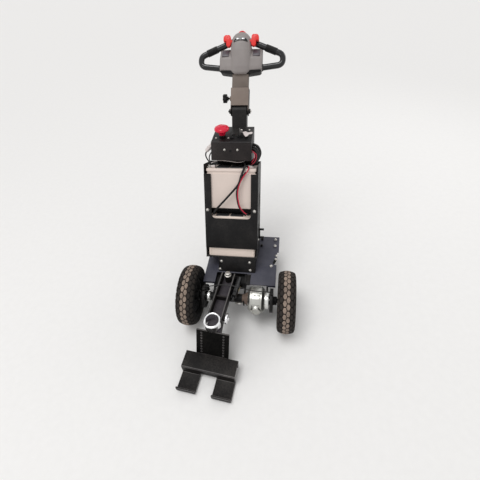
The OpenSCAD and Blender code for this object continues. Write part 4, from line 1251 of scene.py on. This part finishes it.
@dataclass
class BatteryStack:
    """The box, its front plate, the two batteries and the leads between them."""

    half: float = 141.0
    case_half: float = 130.0
    face: float = 7.0
    depth: float = 150.0
    height: float = 230.0
    lower: float = 4.3
    upper: float = 258.3
    top: float = 510.3
    foot: float = 20.0
    rib_pitch: float = 6.4
    where: Matrix = field(default_factory=LAYOUT.column)

    def ring(self, s: float, inset: float, corner: float) -> list[Point]:
        """One rounded row of a battery's case.

        Args:
            s: Its height along the slope.
            inset: How far it is drawn in on every side.
            corner: Radius of its corners.

        Returns:
            The row's points.
        """
        row: list[Point] = []
        for cx, cy, start in ((1, 1, 0), (-1, 1, 90), (-1, -1, 180), (1, -1, 270)):
            x = cx * (self.case_half - inset - corner)
            y = self.face + self.depth / 2 + cy * (self.depth / 2 - inset - corner)
            row += [(x + corner * math.cos(a), y + corner * math.sin(a), s)
                    for a in (math.radians(start + 90 * n / 4) for n in range(5))]
        return row

    def case(self, place: str, low: float, foot: float, finish: Finish) -> None:
        """Makes one battery: a tapered case, ribs, a stepped lid and its raised rim.

        Args:
            place: Lower or upper.
            low: Height of its underside along the slope.
            foot: How far its foot is stepped back above that.
            finish: The case's finish.
        """
        x, y, h = self.case_half, self.face, self.height
        rows = [(foot, 5, 6), (foot + 2, 3.2, 7), (foot + 6, 2.4, 7), (h - 40, 1.4, 7), (h - 27, 1.2, 7),
                (h - 25, 4, 6), (h - 14, 4, 6), (h - 13, 0.3, 6), (h - 3, 0.3, 6), (h - 0.8, 1.6, 5.5),
                (h, 3.4, 5)]
        draft = Draft(f"battery_{place}_case", self.where)
        draft.loft([self.ring(low + k, inset, corner) for k, inset, corner in rows])
        for sx in (-1, 1):
            draft.prism([(sx * (x - 15), y + 0.2), (sx * (x - 12), y - 1.0), (sx * (x - 9), y + 0.2)],
                        low + foot + 8, low + h - 30)
        draft.piece(finish, smooth=40, replaces=(f"battery_{place}",))

    def vents(self) -> None:
        """Makes the ribbed vent covers, the terminals with their shrouds, and the batteries' spacers."""
        lid = self.upper + self.height
        covers = Draft("battery_vent_covers", self.where)
        for z, y, depth in ((lid, 30.0, 80.0), (self.lower + self.height, 13.0, 40.0)):
            for x in (-84.0, -6.0):
                covers.block((x, y, z - 0.4), (x + 68, y + depth, z + 4))
                for rib in (x + 3.0 + self.rib_pitch * k for k in range(10)):
                    covers.block((rib, y + 2, z + 3.6), (rib + 3.4, y + depth - 2, z + 5.8))
        covers.piece(Shop.VENT, smooth=30, replaces=("battery_lids",))
        posts = Draft("battery_terminals", self.where)
        for x in (-118.0, 82.0):
            seat = seated((x, 34.0, lid))
            posts.spun([(0.1, 0), (13, 0), (13, 4), (11.6, 5), (0.1, 5)], seat, 32)
            posts.spun([(0.1, 5), (6, 5), (6, 15), (5, 16), (0.01, 16)], seat, 24)
            posts.block((x - 9, 20, lid + 5.4), (x + 9, 44, lid + 7.2))
        posts.piece(Shop.ZINC, smooth=40)
        shrouds = Draft("terminal_shrouds", self.where)
        holes = Draft("terminal_shroud_holes", self.where)
        for x in (-111.0, 86.0):
            shrouds.block((x, 30, self.top - 21.6), (x + 24, 56, self.top - 8.0))
            seat = seated((x + 12, 42, self.top - 8.2))
            holes.spun([(0.1, 0.0), (6.4, 0.0), (6.4, 0.5), (0.1, 0.5)], seat, 24)
        shrouds.bevel(2.4, 3).piece(Shop.WHITE, smooth=40)
        holes.piece(Shop.UNDER, smooth=40)
        rails = Draft("battery_spacers", self.where)
        for y in (66.0, 126.0):
            rails.block((-120.6, y, self.upper - 23.6), (120.6, y + 20, self.upper + self.foot - 0.4))
        rails.bevel(1.5).piece(Shop.UNDER)

    def leads(self) -> None:
        """Makes the black lead, the red one with a thin black wire beside it, the link wire and their boots."""
        lid, seat = self.upper + self.height, self.face - 0.3
        black = [(64, 62, lid + 22), (68, 40, lid + 18), (72, 18, lid + 15), (71, 3, lid + 8), (55, -8, 455),
                 (39, -13, 409), (-12, -16, 348), (-66, -13, 288), (-86, -8, 262), (-92, seat, 246)]
        red = [(82, 27.7, lid + 10), (90, 14, lid + 10), (93, 4, lid + 5), (84, -3, 474), (69, -8, 455),
               (50, -13, 420), (40, -16, 381), (40, -17, 341), (51, -15, 293), (76, -10, 261), (96, seat, 248)]
        link = [(-118, 34, lid + 15), (-108, 38, lid + 24), (-89, 44, lid + 31), (-75, 44, lid + 36),
                (-55, 44, lid + 37), (-16, 44, lid + 34), (23, 44, lid + 29), (50, 52, lid + 30),
                (64, 66, lid + 34)]
        beside = [(x - 6.4, y + 2.0, s) for x, y, s in red[3:-2]] + [(66, -8, 262), (76, seat, 244)]
        Draft("battery_lead_black", self.where).wire(black, 5.4, 14).wire(beside, 3.2, 12).piece(
            Shop.SHEATH, smooth=50, replaces=("battery_leads",))
        Draft("battery_lead_red", self.where).wire(red, 2.9, 14).piece(Shop.RED_SHEATH, smooth=50)
        Draft("battery_link_wire", self.where).wire(link, 1.8, 10).piece(Shop.WHITE, smooth=50)
        boots = Draft("battery_lead_boots", self.where)
        for end, inner in ((black[-1], black[-2]), (red[0], red[1]), (red[-1], red[-2]), (link[0], link[1])):
            boots.tube([tuple(Vector(end).lerp(Vector(inner), w)) for w in (0.02, 0.7)], 5.6, 14)
        boots.piece(Shop.UNDER, smooth=50)

    def fittings(self) -> None:
        """Makes the folded plates, the side bracket, the strip that closes the back, and their bolts."""
        softened("battery_box", 1.0, Shop.BLACK)
        softened("front_plate", 1.0, Shop.BLACK)
        softened("foot_bracket", 1.4, Shop.BLACK, segments=3)
        x = self.half
        bracket = Draft("side_bracket_folded", self.where)
        bracket.prism([(x, 84), (x + 27, 84), (x + 27, 93), (x + 6, 93), (x + 6, 131), (x + 27, 131),
                       (x + 27, 140), (x, 140)], 104.0, 118.0, Axis.Y)
        bracket.bevel(1.2).piece(Shop.BLACK, replaces=("side_bracket",))
        softened("post", 2.0, Shop.BLACK, segments=3)
        strip = Draft("rear_closing_strip", self.where).block((-103.0, 155.0, 504.0), (103.0, 160.5, 528.0))
        strip.bevel(0.8).piece(Shop.BLACK)
        bolts = Draft("front_plate_bolts", self.where).bolt((x, 60, 92), (1, 0, 0), 6.0, dome=True)
        for at in (-126, 124):
            bolts.bolt((at, 0, 270), (0, -1, 0), 8.6, dome=True)
        bolts.piece(Shop.ZINC, smooth=50)
        bolts = Draft("foot_bracket_bolts", LAYOUT.leaning(LAYOUT.foot))
        for at, s in ((-86, -22), (70, -22), (74, -68), (-94, -70)):
            bolts.bolt((at, 0, s), (0, -1, 0), 8.0, dome=True)
        bolts.piece(Shop.ZINC, smooth=50)

    def build(self) -> None:
        """Makes the whole stack."""
        # The lower battery takes the case plastic painted lighter, as painted light on its shaded base.
        self.case("lower", self.lower, 0.0, Shop.CASE_PAINTED_LIGHT)
        self.case("upper", self.upper, self.foot, Shop.CASE)
        self.vents()
        self.leads()
        self.fittings()


@dataclass
class Chassis:
    """The deck with its nuts, the axle with its motor and brakes, and the castors."""

    deck_z: float = 215.0
    under_deck: float = 208.8
    drum: float = 65.6
    vent_ring: float = 66.6

    def deck(self) -> None:
        """Makes the deck, the castors' plates, the fillings of its notches and its cap nuts."""
        softened("deck", 1.3, Shop.DECK, Shop.EDGE)
        softened("castor_plates", 0.7, Shop.BLACK, Shop.ZINC,
                 zones=(Zone(2, 216.0, 240.0, 1), Zone(0, -130.0, 130.0, 0)))
        filler = [(-172.2, 208.0), (-184.0, 196.3), (-195.8, 194.6), (-195.8, 247.0), (-186.2, 243.7)]
        strap = [(169.0, 212.0), (182.0, 250.0), (195.5, 256.0), (195.5, 238.0), (187.0, 214.0), (178.0, 204.0)]
        Draft("deck_left_filler").prism(filler, self.under_deck + 0.4, self.deck_z).piece(Shop.DECK)
        Draft("deck_notch_strap").prism(strap, 202.0, self.under_deck).bevel(1.0).piece(Shop.UNDER)
        nuts = Draft("deck_cap_nuts")
        for x, y, size in ((192, 262, 8), (190, 236, 8), (-192, 262, 8), (-190, 236, 8), (166, 186, 9)):
            nuts.bolt((x, y, self.deck_z), (0, 0, 1), size, dome=True)
        nuts.piece(Shop.ZINC, smooth=50)

    def motor(self) -> None:
        """Makes the motor drum: end rings, a ribbed cast middle, its terminal boss, slots and bolts."""
        rows = []
        for x, r, ribbed in ((57, 30, 0), (57, 53, 0), (60, 57, 0), (67, 66, 0), (70, 68, 0), (76, 68, 0),
                             (77, self.drum, 0), (79, self.drum, 1), (84, 66.4, 1), (118, 66.4, 1),
                             (122, self.drum, 1), (123, self.drum, 0), (124, 68, 0), (129, 68, 0), (134, 62, 0),
                             (142, 54, 0), (142, 30, 0)):
            rows.append([LAYOUT.about_axle(x, r + (1.4 if ribbed and k % 8 < 2 else 0.0), a)
                         for k, a in enumerate(angles(96))])
        drum = Draft("motor_housing").loft(rows)
        drum.turned([(0.2, -76.0), (24.0, -76.0), (26.5, -73.5), (27.0, -66.0), (30.0, -60.0), (30.0, -40.0)],
                    (101.0, 0.0, LAYOUT.axle_z), Axis.Y, 40)
        drum.piece(Shop.ALLOY, smooth=28, replaces=("motor_drum",))
        cone = [(17, 18), (20.5, 18), (21.5, 22), (25, 36), (38, 54), (41, 56), (41, 59), (17, 59)]
        Draft("motor_cone").turned(cone, (0.0, 0.0, LAYOUT.axle_z), Axis.X).piece(Shop.CONE, smooth=40)
        slots = Draft("motor_slots")
        corners = ((0, -1.6), (13, -1.6), (15, 0), (13, 1.6), (0, 1.6), (-2, 0))
        for row, turn in enumerate((65.0, 107.0, 149.0, 191.0)):
            for x in (84.0 + 4 * (row % 2), 104.0 + 4 * (row % 2)):
                seat = seated(LAYOUT.about_axle(x, self.vent_ring, math.radians(turn)), turn)
                slots.loft([[tuple(seat @ Vector((dx, h, dy))) for dx, dy in corners] for h in (-1.0, 0.7)])
        slots.piece(Shop.UNDER)
        bolts = Draft("motor_bolts")
        for a in angles(8, 0.5):
            bolts.bolt(LAYOUT.about_axle(59.5, 47, a), (-1, 0, 0), 5.0)
            bolts.bolt(LAYOUT.about_axle(139.5, 50, a), (1, 0, 0), 5.0)
        for a in angles(4, 0.5):
            bolts.bolt((101 + 19 * math.cos(a), -75.6, LAYOUT.axle_z + 19 * math.sin(a)), (0, -1, 0), 4.0)
        bolts.piece(Shop.ZINC)

    def axle(self) -> None:
        """Makes the axle tubes with turned rings, the gussets, the brakes, a strut, a black plate as painted shade
        and a lever bar.
        """
        softened("axle_case", 1.6, Shop.UNDER, Shop.TURNED,
                 zones=(Zone(0, 141.0, 167.0, 1), Zone(0, -174.0, -148.0, 1)))
        softened("axle_gussets", 0.9, Shop.BLACK)
        softened("brake_plates", 1.0, Shop.BLACK)
        dressed("brake_cable", Shop.SHEATH)
        strut = [(-28, 56, 182.4), (-16, 16, 184.0), (-7, -14, 184.4), (-2, 16, 184.0), (6, 56, 182.4)]
        Draft("brake_strut").wire(strut, 1.9, 10, steps=6).piece(Shop.BRASS, smooth=60)
        # A black plate under the deck beside the drawbar: painted shade where the floor would show through the
        # gap.
        shade_plate = Draft("painted_shade_plate").block((35.9, 55.5, 203.0), (60.0, 122.0, self.under_deck))
        shade_plate.bevel(0.8).piece(Shop.BLACK)
        lever = Draft("brake_lever_bar").block((-11.0, -30.0, 148.0), (21.0, -18.5, 152.5)).bevel(1.2)
        lever.bolt((-5.0, -25.0, 152.4), (0, 0, 1), 4.0).piece(Shop.ZINC)
        bolts = Draft("axle_bolts")
        for a in angles(6):
            bolts.bolt(LAYOUT.about_axle(165.0, 37, a), (1, 0, 0), 5.0)
        bolts.piece(Shop.ZINC)

    def build(self) -> None:
        """Makes the whole chassis and dresses both castors."""
        self.deck()
        self.motor()
        self.axle()
        for word in (side.word for side in Side):
            softened(f"castor_fork_{word}", 0.8, Shop.ZINC, body=Body(f"castor_{word}"))
            softened(f"castor_wheel_{word}", 1.0, Shop.RUBBER, body=Body(f"castor_{word}_roller"))


@dataclass
class Drawbar:
    """The swinging channel with the ring, the drilled plate and the folded hook bracket."""

    channel_z: float = 191.0
    channel_top: float = 247.0
    plate_y: float = -298.3
    plate_z: float = 192.7
    plate_lean: float = 24.0
    holes: int = 8
    pitch: float = 16.0
    where: Matrix = field(default_factory=LAYOUT.drawbar)

    def build(self) -> None:
        """Makes the folded parts, the eyelets, the ring with its seat, and the bright parts."""
        # The channel's top lips and rounded edges take the lighter edge finish: painted highlight with rubbed
        # paint.
        softened("drawbar_channel", 1.3, Shop.SATIN, Shop.EDGE, Shop.TRAY, body=Body.DRAWBAR, edge_slot=1,
                 zones=(Zone(2, self.channel_top - 1.4, self.channel_top + 1.0, 1),
                        Zone(2, self.channel_z + 5.5, self.channel_z + 6.5, 2)))
        # The hitch plate's faces take black paint darkened as painted shade.
        softened("hitch_plate", 1.0, Shop.SHADE_BLACK, Shop.EDGE, body=Body.DRAWBAR, edge_slot=1,
                 zones=(Zone(2, self.plate_z - 2.6, self.plate_z + 6.0, 1),))
        softened("hook_bracket", 1.6, Shop.SATIN, Shop.EDGE, body=Body.DRAWBAR, segments=3, edge_slot=1)
        # Rims round the plate's holes in the lighter edge finish: painted highlight with rubbed paint.
        eyelets = Draft("hitch_hole_edges", self.where)
        slope = seated((0.0, self.plate_y, self.plate_z), -self.plate_lean)
        for x in (-56.0, 56.0):
            for k in range(self.holes):
                eyelets.spun([(2.6, -0.4), (3.5, -0.4), (4.9, 0.1), (4.7, 0.5), (3.4, 0.6), (2.7, 0.1)],
                             slope @ seated((x, -9.0, -14.0 - self.pitch * k), 90), 20)
        eyelets.piece(Shop.EDGE, body=Body.DRAWBAR, smooth=50)
        seat = Draft("tow_ring_seat", self.where)
        seat.turned([(0.1, 0), (26.9, 0), (26.9, 5.4), (0.1, 5.4)], (-8, -268, self.channel_z + 0.4), steps=64)
        seat.piece(Shop.TRAY, body=Body.DRAWBAR)
        softened("tow_ring", 2.6, Shop.CHROME, body=Body.DRAWBAR, segments=4)
        softened("hitch_pin", 1.2, Shop.CHROME, body=Body.DRAWBAR)
        softened("kingpin", 0.9, Shop.ZINC)
        softened("damper", 1.2, Shop.GLOSS, body=Body.DRAWBAR)


def main() -> None:
    """Builds the machine's sub-assemblies in order, and keeps the CAD nodes that they replace, hidden."""
    logging.basicConfig(level=logging.INFO, format="%(name)s: %(message)s")
    Studio().build()
    TillerHead().build()
    TillerArm().build()
    ControlBox().build()
    BatteryStack().build()
    Chassis().build()
    for side in Side:
        DriveWheel(side).build()
    Drawbar().build()


if __name__ == "__main__":
    main()
